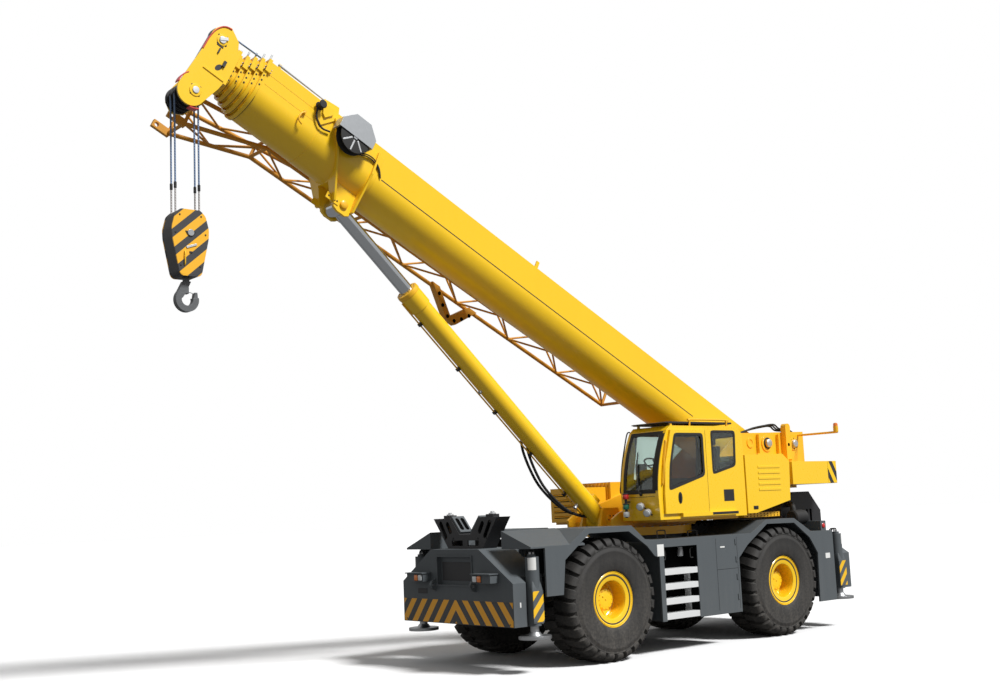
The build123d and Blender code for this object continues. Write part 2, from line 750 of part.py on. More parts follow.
def make_cab():
    """The hollow cab, with a doorway on the left and its glazed openings cut."""
    wall = cab_wall
    shell = cab_form(0, (cab_inner_y, cab_outer_y))
    shell -= cab_form(wall, (cab_inner_y + wall, cab_outer_y - wall))
    for opening in cab_openings(0):
        shell -= opening
    doorway = side_prism(door_outline(45), (cab_outer_y - wall - 1, cab_outer_y + 1))
    shell -= doorway
    rail_y = (cab_outer_y, cab_outer_y + door_plate + 18)
    rail = block((door_rear - 700, door_rear + 650), rail_y, (door_bottom - 60, door_bottom - seat_gap))
    guard = block((-1000, 560), (cab_inner_y + 30, cab_outer_y - 30), (cab_top + 40, cab_top + 65))
    for x in (-950, 450):
        for y in (cab_inner_y + 40, cab_outer_y - 70):
            guard += block((x, x + 40), (y, y + 30), (cab_top, cab_top + 40))
    return shell + rail + guard


def make_glass():
    """The cab's fixed panes: windscreen, quarter light, right side, rear and roof."""
    skin = cab_form(0, (cab_inner_y, cab_outer_y))
    skin -= cab_form(glass_plate, (cab_inner_y + glass_plate, cab_outer_y - glass_plate))
    panes = []
    for opening in cab_openings(-seat_gap):
        panes += (skin & opening).solids()
    return together(*panes)


def make_seat():
    """The driver's seat on its box, and the front console."""
    middle = (cab_inner_y + cab_outer_y) / 2
    floor = cab_bottom + cab_wall
    y = (middle - 240, middle + 240)
    seat = block((-720, -240), (middle - 200, middle + 200), (floor, floor + 360))
    seat += block((-780, -200), y, (floor + 360, floor + 470))
    back = [(-780, floor + 470), (-680, floor + 470), (-760, floor + 1120), (-860, floor + 1120)]
    seat += side_prism(back, (middle - 220, middle + 220))
    for side in (-1, 1):
        arm = sorted((middle + side * 250, middle + side * 340))
        seat += block((-700, -160), sorted((middle + side * 200, middle + side * 340)), (floor + 360, floor + 400))
        seat += block((-700, -140), arm, (floor + 400, floor + 620))
    console = [(520, floor), (760, floor), (740, floor + 620), (640, floor + 760), (560, floor + 700)]
    return together(seat, side_prism(console, (middle - 210, middle + 210)))


def make_door():
    """The sliding door, as thick as the real one, with its window cut."""
    y = (cab_outer_y + run_gap, cab_outer_y + run_gap + door_plate)
    door = side_prism(door_outline(0), y)
    return door - side_prism(door_window(0), (y[0] - 1, y[1] + 1))


def make_door_glass():
    """The pane in the door."""
    middle = cab_outer_y + run_gap + door_plate / 2
    return side_prism(door_window(seat_gap), (middle - glass_plate / 2, middle + glass_plate / 2))


keep("cab", make_cab())
keep("cab_glass", make_glass())
keep("cab_seat", make_seat())
keep("cab_door", make_door())
keep("door_glass", make_door_glass())


# Boom, in its own frame: s along X, t along Z, the foot pin at the origin

boom_place = Pos(boom_pivot_x, 0, boom_pivot_z) * Rot(0, -boom_pitch, 0)


def boom_face(half_width, crown, belly):
    """A flat-topped section with a half-round belly, drawn in (y, t)."""
    knuckle_t = belly + half_width
    top = Polyline((-half_width, knuckle_t), (-half_width, crown), (half_width, crown),
                   (half_width, knuckle_t))
    arc = ThreePointArc((half_width, knuckle_t), (0, belly), (-half_width, knuckle_t))
    return make_face(top + arc)


def boom_prism(half_width, crown, belly, s):
    """That section, extruded between two values of s."""
    return extrude(Plane.YZ.offset(s[0]) * boom_face(half_width, crown, belly), amount=s[1] - s[0])


def section_size(index):
    """The half width, crown and belly of a boom section, from 0 for the base section."""
    shrink = index * section_step
    return boom_half_width - shrink, boom_crown - shrink, boom_belly + shrink


def section_tube(index, start, front):
    """A boom section as a hollow tube with a collar and adjuster blocks at its front."""
    half_width, crown, belly = section_size(index)
    tube = boom_prism(half_width, crown, belly, (start, front))
    collar = boom_prism(half_width + collar_height, crown + collar_height, belly - collar_height,
                        (front - collar_length, front))
    tube += collar
    tube -= boom_prism(half_width - boom_wall, crown - boom_wall, belly + boom_wall, (start - 1, front + 1))
    for side in (-1, 1):
        blocks = block((front - collar_length - 30, front),
                       sorted((side * half_width, side * (half_width + 45))), (crown - 190, crown - 110))
        tube += blocks
        post_y = side * (half_width - 60)
        tube += shaft((front - 26, post_y, crown + 5), (front - 26, post_y, crown + 130), 10)
    return tube


def belly_pads(index, front):
    """Wear pads inside a section's mouth, which carry the next section."""
    half_width, crown, belly = section_size(index)
    inner = section_size(index + 1)
    ring = boom_prism(half_width - boom_wall, crown - boom_wall, belly + boom_wall, (front - 300, front - 60))
    ring -= boom_prism(inner[0] + seat_gap, inner[1] + seat_gap, inner[2] - seat_gap, (front - 301, front - 59))
    window = block((front - 302, front - 58), (-half_width, half_width), (belly + 350, crown - 60))
    return ring - window


def make_base_section():
    """The base section with its tail, foot bosses, cylinder saddle and reel bracket."""
    body = section_tube(0, boom_tail, boom_front)
    half_width, crown, belly = section_size(0)
    tail_cut = [(boom_tail - 1, -330), (boom_tail - 1, belly - 1), (560, belly - 1)]
    body -= side_prism(tail_cut, (-half_width - 1, half_width + 1))
    closure = side_prism([(boom_tail, -330), (560, belly), (590, belly + 12), (boom_tail, -300)],
                         (-half_width + 60, half_width - 60))
    body += closure & boom_prism(half_width, crown, belly, (boom_tail, 700))
    boss = cross_shaft(0, 0, foot_boss_radius, (-cheek_inner_y + seat_gap, cheek_inner_y - seat_gap))
    body += boss
    body -= cross_shaft(0, 0, foot_pin_radius + pin_gap, (-cheek_inner_y, cheek_inner_y))
    return body + belly_pads(0, boom_front) + make_saddle()


def make_saddle():
    """The luffing cylinder's saddle: two flanges round the belly and two ears."""
    half_width, crown, belly = section_size(0)
    outer = [(-half_width - 55, crown - 120), (half_width + 55, crown - 120), (half_width + 55, -430),
             (260, lift_pin_t - 60), (-260, lift_pin_t - 60), (-half_width - 55, -430)]
    envelope = cross_prism(outer, (9000, 10400))
    solid_boom = boom_prism(half_width, crown, belly, (8900, 10500))
    hollow = boom_prism(half_width - boom_wall + 1, crown - boom_wall, belly + boom_wall - 1, (8900, 10500))
    front_plate = Pos(9790, 0, -600) * Rot(0, 30, 0) * Box(30, 1000, 1700)
    rear_plate = Pos(9225, 0, -700) * Rot(0, 4, 0) * Box(30, 1000, 1500)
    flanges = (front_plate + rear_plate) & envelope
    ear_outline = [(9225, -560), (9800, -560), (9480, lift_pin_t - 110), (9400, lift_pin_t - 140),
                   (9260, lift_pin_t - 140), (9200, lift_pin_t - 100)]
    for side in (-1, 1):
        flanges += side_prism(ear_outline, sorted((side * (lift_bore + 12), side * (lift_bore + 62))))
    flanges -= solid_boom
    sides = boom_prism(half_width + 6, crown - 130, belly - 6, (9150, 10250)) - hollow
    saddle = flanges + (sides & cross_prism(outer, (9150, 10250)))
    pin = cross_shaft(lift_pin_s, lift_pin_t, lift_pin_radius, (-lift_bore - 80, lift_bore + 80))
    way = block((8800, 9700), (-lift_bore - 12, lift_bore + 12), (lift_pin_t - 300, belly - 8))
    return saddle - way + pin


keep("boom_base", boom_place * make_base_section())
for index in range(1, section_count):
    front = boom_front + index * collar_pitch
    section = section_tube(index, front - section_length, front)
    if index < section_count - 1:
        section += belly_pads(index, front)
    keep(f"boom_section_{index + 1}", boom_place * section)


# Boom head, sheaves, reel and stowed jib

def make_head():
    """The head: a tall left plate, a short right plate and a cheek behind the upper sheave, on cross ties."""
    half_width, crown, belly = section_size(section_count - 1)
    start = boom_front + (section_count - 1) * collar_pitch
    end_plate = 60.0
    foot = start + seat_gap
    upper, lower, r = head_upper_t, head_lower_t, head_radius
    top = 205.0
    upper_lobe = ThreePointArc((head_s + 160, upper - 75), (head_s + 80, upper + top - 20), (head_s - 40, upper + 245))
    lower_lobe = ThreePointArc((head_s - 150, lower - 112), (head_s - 20, lower - r), (head_s + r, lower - 20))
    back = Polyline((head_s - 40, upper + 245), (head_s - 210, upper + 130), (foot + 30, upper - 60),
                    (foot + 8, upper - 370), (foot + 60, lower + 220), (head_s - 150, lower - 112))
    front = Polyline((head_s + r, lower - 20), (head_s + 160, upper - 75))
    left = make_face(upper_lobe + back + lower_lobe + front)
    outer = head_half_width
    head = extrude(Plane.XZ.offset(-outer) * left, amount=head_plate)
    right = [(foot, lower + 440), (head_s + 90, lower + 360), (head_s + 160, lower + 60), (head_s + 130, lower - 100),
             (head_s, lower - 200), (head_s - 160, lower - 110), (foot, lower + 200)]
    head += side_prism(right, (head_right_y - head_plate, head_right_y))
    cheek = [(foot, upper - 500), (head_s + 20, upper - 420), (head_s + 110, upper - 60), (head_s + 60, upper + 90),
             (head_s - 60, upper + 110), (head_s - 130, upper), (foot, upper - 100)]
    cheek_y = upper_sheave_y - sheave_width / 2 - run_gap
    head += side_prism(cheek, (cheek_y - head_plate, cheek_y))
    head += block((foot, start + end_plate), (head_right_y - head_plate, outer), (belly - 20, crown + 20))
    for t in (upper - 420, (upper + lower) / 2, lower + 330):
        head += block((start + end_plate, head_s - sheave_radius - 30), (head_right_y, outer - head_plate), (t, t + 30))
    for t in (upper, lower):
        head -= cross_shaft(head_s, t, sheave_shaft + pin_gap, (-outer - 1, outer + 1))
    return head


def make_sheave():
    """A grooved rope sheave round the Y axis."""
    half = sheave_width / 2
    outline = [(sheave_shaft, -half), (sheave_radius, -half), (sheave_radius, -rope_radius - 4),
               (sheave_groove, -rope_radius), (sheave_groove, rope_radius),
               (sheave_radius, rope_radius + 4), (sheave_radius, half), (sheave_shaft, half)]
    return revolve(make_face(Polyline(*outline, close=True)), Axis.Y)


def make_head_sheaves():
    """The head's two shafts with their sheaves."""
    solids = []
    lower_row = [place * sheave_pitch for place in (-1.5, -0.5, 0.5, 1.5)]
    right_end = head_right_y - head_plate - shaft_end
    for t, shaft_start, row in ((head_upper_t, upper_sheave_y - 105, [upper_sheave_y]),
                                (head_lower_t, right_end, lower_row)):
        axle = cross_shaft(head_s, t, sheave_shaft, (shaft_start, head_half_width + shaft_end))
        solids.append(axle + [Pos(head_s, y, t) * sheave for y in row])
    return together(*solids)


def make_reel():
    """The overload cable reel on the left of the base section, with its bent guard."""
    s, t = 9790.0, -210.0
    near = boom_half_width + 85
    drum = cross_shaft(s, t, 250, (near, near + 150)) + cross_shaft(s, t, 60, (boom_half_width + 6 + seat_gap, near))
    top = [(s - 300, t - 20), (s - 300, t + 130), (s - 130, t + 300), (s + 130, t + 300), (s + 300, t + 130),
           (s + 300, t - 20)]
    guard = side_prism(top, (near - 20, near + 165)) - side_prism(
        [(x * 0.93 + s * 0.07, z * 0.93 + t * 0.07) for x, z in top], (near - 21, near + 160))
    stay = block((s - 30, s + 30), (near + 140, near + 165), (t, t + 290))
    return drum + guard + stay


sheave = make_sheave()
keep("boom_head", boom_place * make_head())
keep("head_sheaves", boom_place * make_head_sheaves())
keep("cable_reel", boom_place * make_reel())


def jib_chords(s):
    """The jib's four chord points (y, t) at a station s: upper inner, lower inner, upper outer, lower outer."""
    inner = -(boom_half_width + jib_gap)
    outer = inner - jib_width
    top = jib_top - 0.16 * max(0.0, s - jib_top_knee)
    low = jib_low - 0.0115 * (s - jib_start) - 0.37 * max(0.0, s - jib_low_knee)
    return (inner, top), (inner, low), (outer, top), (outer, low)


def make_jib():
    """The stowed lattice jib: four chords, zigzag lacing, end frames, root lugs and hangers."""
    stations = [jib_start + i * jib_bay for i in range(jib_bays + 1)]
    chord_radius = 32.0
    lace_radius = 16.0
    bars = []
    first, last = stations[0], stations[-1]
    knees = (jib_top_knee, jib_low_knee, jib_top_knee, jib_low_knee)
    for corner, knee in enumerate(knees):
        line = Polyline(*[(s, *jib_chords(s)[corner]) for s in (first, knee, last)])
        profile = Plane(origin=line @ 0, z_dir=line % 0) * Circle(chord_radius)
        bars.append(sweep(profile, path=line, transition=Transition.RIGHT))
    for i, (a, b) in enumerate(zip(stations, stations[1:])):
        near, far = (a, b) if i % 2 else (b, a)
        here, there = jib_chords(near), jib_chords(far)
        for p, q in ((2, 3), (1, 3), (0, 2)):
            bars.append(shaft((near, *here[p]), (far, *there[q]), lace_radius))
    for s in (first, jib_top_knee, jib_low_knee, last):
        c = jib_chords(s)
        for p, q in ((0, 1), (1, 3), (3, 2), (2, 0)):
            bars.append(shaft((s, *c[p]), (s, *c[q]), chord_radius - 6))
    jib = bars[0].fuse(*bars[1:])
    end = jib_chords(last)
    for p in (1, 3):
        y, t = end[p]
        lug = block((last - 20, last + 260), (y - 30, y + 30), (t - 55, t + 55))
        lug -= cross_shaft(last + 200, t, 32, (y - 31, y + 31))
        jib += lug
    for s in (stations[1], stations[6], stations[10]):
        y, t = jib_chords(s)[0]
        jib += block((s - 60, s + 60), (y - 20, -boom_half_width - seat_gap), (t - 40, t + 40))
    bracket = [(5900, -520), (6200, -930), (6420, -930), (6900, -520), (6740, -520), (6350, -850), (6080, -520)]
    outer = jib_chords(first)[3][0]
    jib += side_prism(bracket, (outer - 60, outer + 60))
    return jib


keep("jib", boom_place * make_jib())


# Luffing cylinder, lying between its saddle pin and its foot

def boom_point(s, t):
    """A boom point (s, t) in the crane's own (x, z)."""
    angle = math.radians(boom_pitch)
    return (boom_pivot_x + s * math.cos(angle) - t * math.sin(angle),
            boom_pivot_z + s * math.sin(angle) + t * math.cos(angle))


lift_eye_x, lift_eye_z = boom_point(lift_pin_s, lift_pin_t)
lift_length = math.hypot(lift_eye_x - lift_foot_x, lift_eye_z - lift_foot_z)
lift_angle = math.degrees(math.atan2(lift_eye_z - lift_foot_z, lift_eye_x - lift_foot_x))
lift_place = Pos(lift_foot_x, 0, lift_foot_z) * Rot(0, -lift_angle, 0)


def make_barrel():
    """The cylinder barrel from its foot eye at the origin, along X, with its gland."""
    eye_half = lift_slot_half_width - run_gap
    eye = cross_shaft(0, 0, lift_foot_radius, (-eye_half, eye_half))
    tube = shaft((60, 0, 0), (lift_barrel_length, 0, 0), lift_barrel_radius)
    gland = shaft((lift_barrel_length - 330, 0, 0), (lift_barrel_length, 0, 0), lift_barrel_radius + 18)
    port = block((250, 420), (-70, 70), (140, 200))
    bore = shaft((lift_bore_start, 0, 0), (lift_barrel_length + 1, 0, 0), lift_rod_radius + pin_gap)
    return eye + tube + gland + port - bore


def make_rod():
    """The piston rod from inside the barrel to its eye on the saddle pin."""
    rod = shaft((lift_rod_start, 0, 0), (lift_length - 40, 0, 0), lift_rod_radius)
    eye_half = lift_bore + 12 - run_gap
    eye = cross_shaft(lift_length, 0, lift_eye_radius, (-eye_half, eye_half))
    eye -= cross_shaft(lift_length, 0, lift_pin_radius + pin_gap, (-eye_half - 1, eye_half + 1))
    tip = cross_shaft(lift_length, 0, lift_pin_radius + pin_gap, (-eye_half - 1, eye_half + 1))
    return (rod - tip) + eye


keep("lift_barrel", lift_place * make_barrel())
keep("lift_rod", lift_place * make_rod())


# Hoist ropes, hook block and hook, hanging under the lower head sheaves

hang_x, hang_z = boom_point(head_s, head_lower_t)
fall_reach = sheave_groove + rope_radius + 0.5


def make_falls():
    """The four rope falls between the head sheaves and the block's sheaves."""
    ropes = []
    for side in (-1, 1):
        for place in (-0.5, 0.5):
            x = hang_x + side * fall_reach
            y = place * sheave_pitch
            ropes.append(shaft((x, y, block_sheave_z), (x, y, hang_z), rope_radius))
    return together(*ropes)


def block_outline(inset):
    """The hook block's side outline of (x, z), moved inwards by inset."""
    top = block_sheave_z + block_rise - inset
    low = top + inset - block_height + inset
    half = block_width / 2 - inset
    right = [(0.54 * half, top), (0.82 * half, top - 72), (half, top - 250), (0.98 * half, top - 375),
             (0.60 * half, low + 40), (0.46 * half, low)]
    left = [(-x, z) for x, z in reversed(right)]
    return [(hang_x + x, z) for x, z in right + left]


def make_block():
    """The hook block: two side plates and a closed band between them, round its sheaves."""
    half = block_half_thickness
    inner = half - block_plate
    top = block_sheave_z + block_rise
    low = top - block_height
    body = side_prism(block_outline(0), (-half, half))
    body -= side_prism(block_outline(block_band), (-inner, inner))
    for side in (-1, 1):
        for place in (-0.5, 0.5):
            x = hang_x + side * fall_reach
            y = place * sheave_pitch
            body -= block((x - 45, x + 45), (y - 34, y + 34), (top - 290, top + 1))
    body += cross_shaft(hang_x, block_sheave_z, sheave_shaft, (-half - shaft_end, half + shaft_end))
    for place in (-0.5, 0.5):
        body += Pos(hang_x, place * sheave_pitch, block_sheave_z) * sheave
    body += block((hang_x - 110, hang_x + 110), (-inner, inner), (low, low + 150))
    return body - shaft((hang_x, 0, low - 1), (hang_x, 0, low + 151), hook_shank + pin_gap)


def make_hook():
    """A single forged hook on its shank, turning in the block's trunnion."""
    low = block_sheave_z + block_rise - block_height
    shank = shaft((hang_x, 0, low - 60), (hang_x, 0, low + 190), hook_shank)
    nut = shaft((hang_x, 0, low + 150 + seat_gap), (hang_x, 0, low + 190), 70)
    z = low - hook_drop
    bowl = Pos(hang_x, 0, z) * Rot(90, 0, 0) * (Cylinder(hook_radius, 84) - Cylinder(hook_bowl, 90))
    mouth = side_prism([(hang_x - 20, z + 20), (hang_x - 210, z + 35), (hang_x - 210, z + 210),
                        (hang_x - 20, z + 210)], (-60, 60))
    neck_half = hook_shank + 7
    neck = side_prism([(hang_x - neck_half, low - 50), (hang_x + neck_half, low - 50), (hang_x + 130, z + 90),
                       (hang_x + 66, z + 20), (hang_x + 20, z + 85)], (-42, 42))
    tongue = side_prism([(hang_x - 150, z + 25), (hang_x - 92, z + 20), (hang_x - 106, z + 100),
                         (hang_x - 142, z + 100)], (-36, 36))
    return shank + nut + (bowl - mouth) + neck + tongue


keep("hoist_falls", make_falls())
keep("hook_block", make_block())
keep("hook", make_hook())


# Writing: the origin moves under the middle of the whole length

bounds = [shape.bounding_box() for shape in nodes.values()]
shift_x = -(min(b.min.X for b in bounds) + max(b.max.X for b in bounds)) / 2
print(f"nodes {len(nodes)}, shift_x {shift_x:.3f}")
print(f"boom pivot {boom_pivot_x + shift_x:.3f}, hang {hang_x + shift_x:.3f} {hang_z:.3f}")
print(f"lift eye {lift_eye_x + shift_x:.3f} {lift_eye_z:.3f}, length {lift_length:.3f}, angle {lift_angle:.4f}")
for name, shape in nodes.items():
    export_step(Pos(shift_x, 0, 0) * shape, f"parts/{name}.step")
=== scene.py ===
"""Rough-terrain mobile crane: its finishes and fine pieces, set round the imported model.

Lengths are metres. Carrier and turntable places are given from the point midway between the axles, and
boom places as (s, y, t): s along the boom from its foot pin, y to the left and t square to both, upwards.
"""
import json
import logging
import math
from dataclasses import dataclass, field
from enum import Enum
from typing import Iterable, Sequence

import bpy
import numpy as np
from mathutils import Matrix, Vector


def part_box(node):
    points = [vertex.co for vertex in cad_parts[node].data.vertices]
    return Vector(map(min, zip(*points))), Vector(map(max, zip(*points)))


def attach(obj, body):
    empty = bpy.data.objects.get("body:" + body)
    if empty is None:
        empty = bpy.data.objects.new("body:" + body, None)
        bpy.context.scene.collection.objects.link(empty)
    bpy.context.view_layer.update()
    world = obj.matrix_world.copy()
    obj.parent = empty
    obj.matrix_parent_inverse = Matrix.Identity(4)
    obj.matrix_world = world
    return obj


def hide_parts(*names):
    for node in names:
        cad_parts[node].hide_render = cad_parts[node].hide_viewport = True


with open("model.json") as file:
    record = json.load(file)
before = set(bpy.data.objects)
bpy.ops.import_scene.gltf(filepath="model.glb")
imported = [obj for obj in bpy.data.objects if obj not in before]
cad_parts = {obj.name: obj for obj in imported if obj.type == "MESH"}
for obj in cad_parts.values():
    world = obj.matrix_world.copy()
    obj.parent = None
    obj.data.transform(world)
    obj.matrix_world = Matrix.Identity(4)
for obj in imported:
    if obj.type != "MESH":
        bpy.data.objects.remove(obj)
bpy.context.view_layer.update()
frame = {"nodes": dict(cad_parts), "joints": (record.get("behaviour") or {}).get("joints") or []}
LOG = logging.getLogger("crane")
Array = np.ndarray
Point = Sequence[float]
TURN = 2 * math.pi
UP = (0, 0, 1)
SIDES = (-1, 1)
TO_REAR = Matrix.Translation((-0.29, 0, 0)) @ Matrix.Scale(-1, 4, Vector((1, 0, 0)))


class Side(Enum):
    """The two sides of the crane, as the sign of Y."""

    LEFT = 1
    RIGHT = -1


CORNERS = tuple(f"{end}_{side.name.lower()}" for end in ("front", "rear") for side in Side)


class Slot(Enum):
    """The record's material slots."""

    YELLOW = "yellow_paint"
    GREY = "grey_paint"
    BLACK = "black_paint"
    TYRE = "tyre"
    ROD = "rod_steel"
    STEEL = "bare_steel"
    ROPE = "rope"
    TREAD = "tread"
    IRON = "hook_iron"
    GLASS = "glass"
    SEAT = "seat"
    LAMP = "lamp"


# Shapes

@dataclass
class Shell:
    """A closed or open surface: points as an array of rows, and faces as lists of point numbers."""

    points: Array
    faces: list[list[int]]

    def moved(self, matrix: Matrix) -> "Shell":
        """The shell after a 4 by 4 matrix.

        Args:
            matrix: the move, turn or scale.

        Returns:
            A new shell, turned the right way out if the matrix mirrors it.
        """
        m = np.array(matrix)
        points = self.points @ m[:3, :3].T + m[:3, 3]
        faces = self.faces if np.linalg.det(m[:3, :3]) > 0 else [face[::-1] for face in self.faces]
        return Shell(points, faces)

    def mirrored(self) -> "Shell":
        """The shell on the crane's other side."""
        return self.moved(Matrix.Scale(-1, 4, Vector((0, 1, 0))))

    def volume(self) -> float:
        """The signed volume, from the sum of the fans of tetrahedra over every face."""
        total = 0.0
        for face in self.faces:
            corners = self.points[face]
            total += np.sum(np.cross(corners[1:-1], corners[2:]) @ corners[0])
        return total / 6

    def outward(self) -> "Shell":
        """The shell with its faces pointing outwards."""
        return self if self.volume() >= 0 else Shell(self.points, [face[::-1] for face in self.faces])


Parts = Iterable[tuple[str, str, Sequence[Shell]]]


def joined(shells: Iterable[Shell]) -> Shell:
    """Several shells as one.

    Args:
        shells: the shells, in order.

    Returns:
        One shell that holds them all.
    """
    points, faces, start = [], [], 0
    for shell in shells:
        points.append(shell.points)
        faces += [[corner + start for corner in face] for face in shell.faces]
        start += len(shell.points)
    return Shell(np.concatenate(points), faces)


def copies(shell: Shell, matrices: Sequence[Matrix]) -> Shell:
    """A shell repeated once for each matrix, all in one array product.

    Args:
        shell: the piece to repeat.
        matrices: one 4 by 4 matrix for each copy.

    Returns:
        One shell with every copy.
    """
    m = np.array([np.array(matrix) for matrix in matrices])
    points = np.einsum("kij,nj->kni", m[:, :3, :3], shell.points) + m[:, None, :3, 3]
    count = len(shell.points)
    faces = [[corner + k * count for corner in face] for k in range(len(m)) for face in shell.faces]
    return Shell(points.reshape(-1, 3), faces)


def grid(rows: Array, closed_along: bool = False, closed_round: bool = True, caps: bool = False) -> Shell:
    """A surface over a grid of points, with one quad between each four neighbours.

    Args:
        rows: an array of (rows, columns, 3) points.
        closed_along: whether the last row joins the first.
        closed_round: whether the last column joins the first.
        caps: whether the first and last rows are closed by one face each.

    Returns:
        The surface.
    """
    n, m = rows.shape[:2]
    i = np.arange(n if closed_along else n - 1)
    j = np.arange(m if closed_round else m - 1)
    a, b = np.meshgrid(i, j, indexing="ij")
    a2, b2 = (a + 1) % n, (b + 1) % m
    quads = np.stack([a * m + b, a * m + b2, a2 * m + b2, a2 * m + b], axis=-1).reshape(-1, 4)
    faces = quads.tolist()
    if caps:
        faces.append(list(range(m))[::-1])
        faces.append([(n - 1) * m + k for k in range(m)])
    return Shell(rows.reshape(-1, 3), faces)


def revolved(profile: Array, segments: int) -> Shell:
    """A closed profile of (radius, y) carried round the Y axis through even angles.

    Args:
        profile: the profile's points, in order, closed on itself.
        segments: how many steps make the full turn.

    Returns:
        A ring-shaped surface.
    """
    angle = np.arange(segments) * TURN / segments
    radius, y = profile[:, 0], profile[:, 1]
    x = np.outer(np.cos(angle), radius)
    z = np.outer(np.sin(angle), radius)
    rows = np.stack([x, np.broadcast_to(y, x.shape), z], axis=-1)
    return grid(rows, closed_along=True).outward()


def arc(centre: Point, radius: float, start: float, end: float, count: int) -> Array:
    """Points on a flat arc, from the cosine and sine of even angles in degrees."""
    angle = np.radians(np.linspace(start, end, count))
    return np.stack([centre[0] + radius * np.cos(angle), centre[1] + radius * np.sin(angle)], axis=-1)


def prism(outline: Array, low: float, high: float, axis: str = "y") -> Shell:
    """A closed flat outline carried straight from low to high along an axis.

    Args:
        outline: the points in the other two directions, in the order x, y, z.
        low: where it starts.
        high: where it ends.
        axis: the direction of travel.

    Returns:
        A closed solid shell.
    """
    outline = np.asarray(outline, float)
    order = {"x": (1, 2, 0), "y": (0, 2, 1), "z": (0, 1, 2)}[axis]
    rows = np.empty((2, len(outline), 3))
    rows[..., order[0]] = outline[:, 0]
    rows[..., order[1]] = outline[:, 1]
    rows[0, :, order[2]] = low
    rows[1, :, order[2]] = high
    return grid(rows, caps=True).outward()


def box(low: Point, high: Point) -> Shell:
    """A box between two corners."""
    outline = np.array([(low[0], low[1]), (high[0], low[1]), (high[0], high[1]), (low[0], high[1])])
    return prism(outline, low[2], high[2], "z")


def rounded_outline(corners: Array, radius: float, steps: int = 5) -> Array:
    """An outline whose corners are arcs, each sampled as a quadratic blend of its two tangent points.

    Args:
        corners: the sharp outline's points.
        radius: how far from each corner the arc begins.
        steps: how many points make an arc.

    Returns:
        The rounded outline.
    """
    corners = np.asarray(corners, float)
    back = np.roll(corners, 1, axis=0) - corners
    ahead = np.roll(corners, -1, axis=0) - corners
    start = corners + back / np.linalg.norm(back, axis=1, keepdims=True) * radius
    end = corners + ahead / np.linalg.norm(ahead, axis=1, keepdims=True) * radius
    u = np.linspace(0, 1, steps)[None, :, None]
    blend = (1 - u) ** 2 * start[:, None] + 2 * u * (1 - u) * corners[:, None] + u ** 2 * end[:, None]
    return blend.reshape(-1, corners.shape[1])


def along(path: Array) -> Array:
    """Unit tangents of a path of points, from the differences of neighbours."""
    tangent = np.gradient(path, axis=0)
    return tangent / np.linalg.norm(tangent, axis=1, keepdims=True)


def tube(path: Array, radius: float | Array, sides: int = 12) -> Shell:
    """A round bar along a path: circles square to its tangents, turned as little as possible.

    Args:
        path: the centre line's points.
        radius: one radius, or one for each point.
        sides: how many sides the circle has.

    Returns:
        A closed bar.
    """
    path = np.asarray(path, float)
    tangent = along(path)
    first = np.cross(tangent[0], (0.0, 0.0, 1.0))
    if np.linalg.norm(first) < 0.2:
        first = np.cross(tangent[0], (0.0, 1.0, 0.0))
    normals = [first / np.linalg.norm(first)]
    for t in tangent[1:]:
        n = normals[-1] - t * np.dot(normals[-1], t)
        normals.append(n / np.linalg.norm(n))
    normal = np.array(normals)
    other = np.cross(tangent, normal)
    angle = np.arange(sides) * TURN / sides
    reach = np.broadcast_to(np.asarray(radius, float), (len(path),))[:, None, None]
    circle = np.cos(angle)[None, :, None] * normal[:, None] + np.sin(angle)[None, :, None] * other[:, None]
    return grid(path[:, None] + reach * circle, caps=True).outward()


def smooth_path(points: Sequence[Point], steps: int) -> Array:
    """A path through given points, by Catmull-Rom blends of each four neighbours.

    Args:
        points: the points to pass through.
        steps: how many samples lie between two of them.

    Returns:
        The sampled path.
    """
    p = np.asarray(points, float)
    p = np.concatenate([2 * p[:1] - p[1:2], p, 2 * p[-1:] - p[-2:-1]])
    u = np.linspace(0, 1, steps, endpoint=False)[None, :, None]
    a, b, c, d = p[:-3, None], p[1:-2, None], p[2:-1, None], p[3:, None]
    blend = 0.5 * (2 * b + (c - a) * u + (2 * a - 5 * b + 4 * c - d) * u ** 2
                   + (3 * b - a - 3 * c + d) * u ** 3)
    return np.concatenate([blend.reshape(-1, 3), p[-2:-1]])


def rod(start: Point, end: Point, radius: float, sides: int = 14) -> Shell:
    """A straight round bar between two points."""
    return tube(np.array([start, end], float), radius, sides)


def cord(points: Sequence[Point], radius: float | Array, steps: int = 5, sides: int = 8) -> Shell:
    """A round bar along a smooth path through given points."""
    return tube(smooth_path(points, steps), radius, sides)


def bolt_head(size: float, height: float) -> Shell:
    """A six-sided bolt head standing on Z with a chamfered top."""
    angle = np.arange(6) * TURN / 6
    foot = np.stack([np.cos(angle), np.sin(angle), np.zeros(6)], axis=-1) * size
    rows = np.stack([foot, foot + (0, 0, height * 0.75), foot * 0.8 + (0, 0, height)])
    return grid(rows, caps=True).outward()


def facing(direction: Point, place: Point) -> Matrix:
    """A matrix that turns Z towards a direction and moves to a place."""
    return Matrix.Translation(Vector(place)) @ Vector(direction).to_track_quat("Z", "Y").to_matrix().to_4x4()


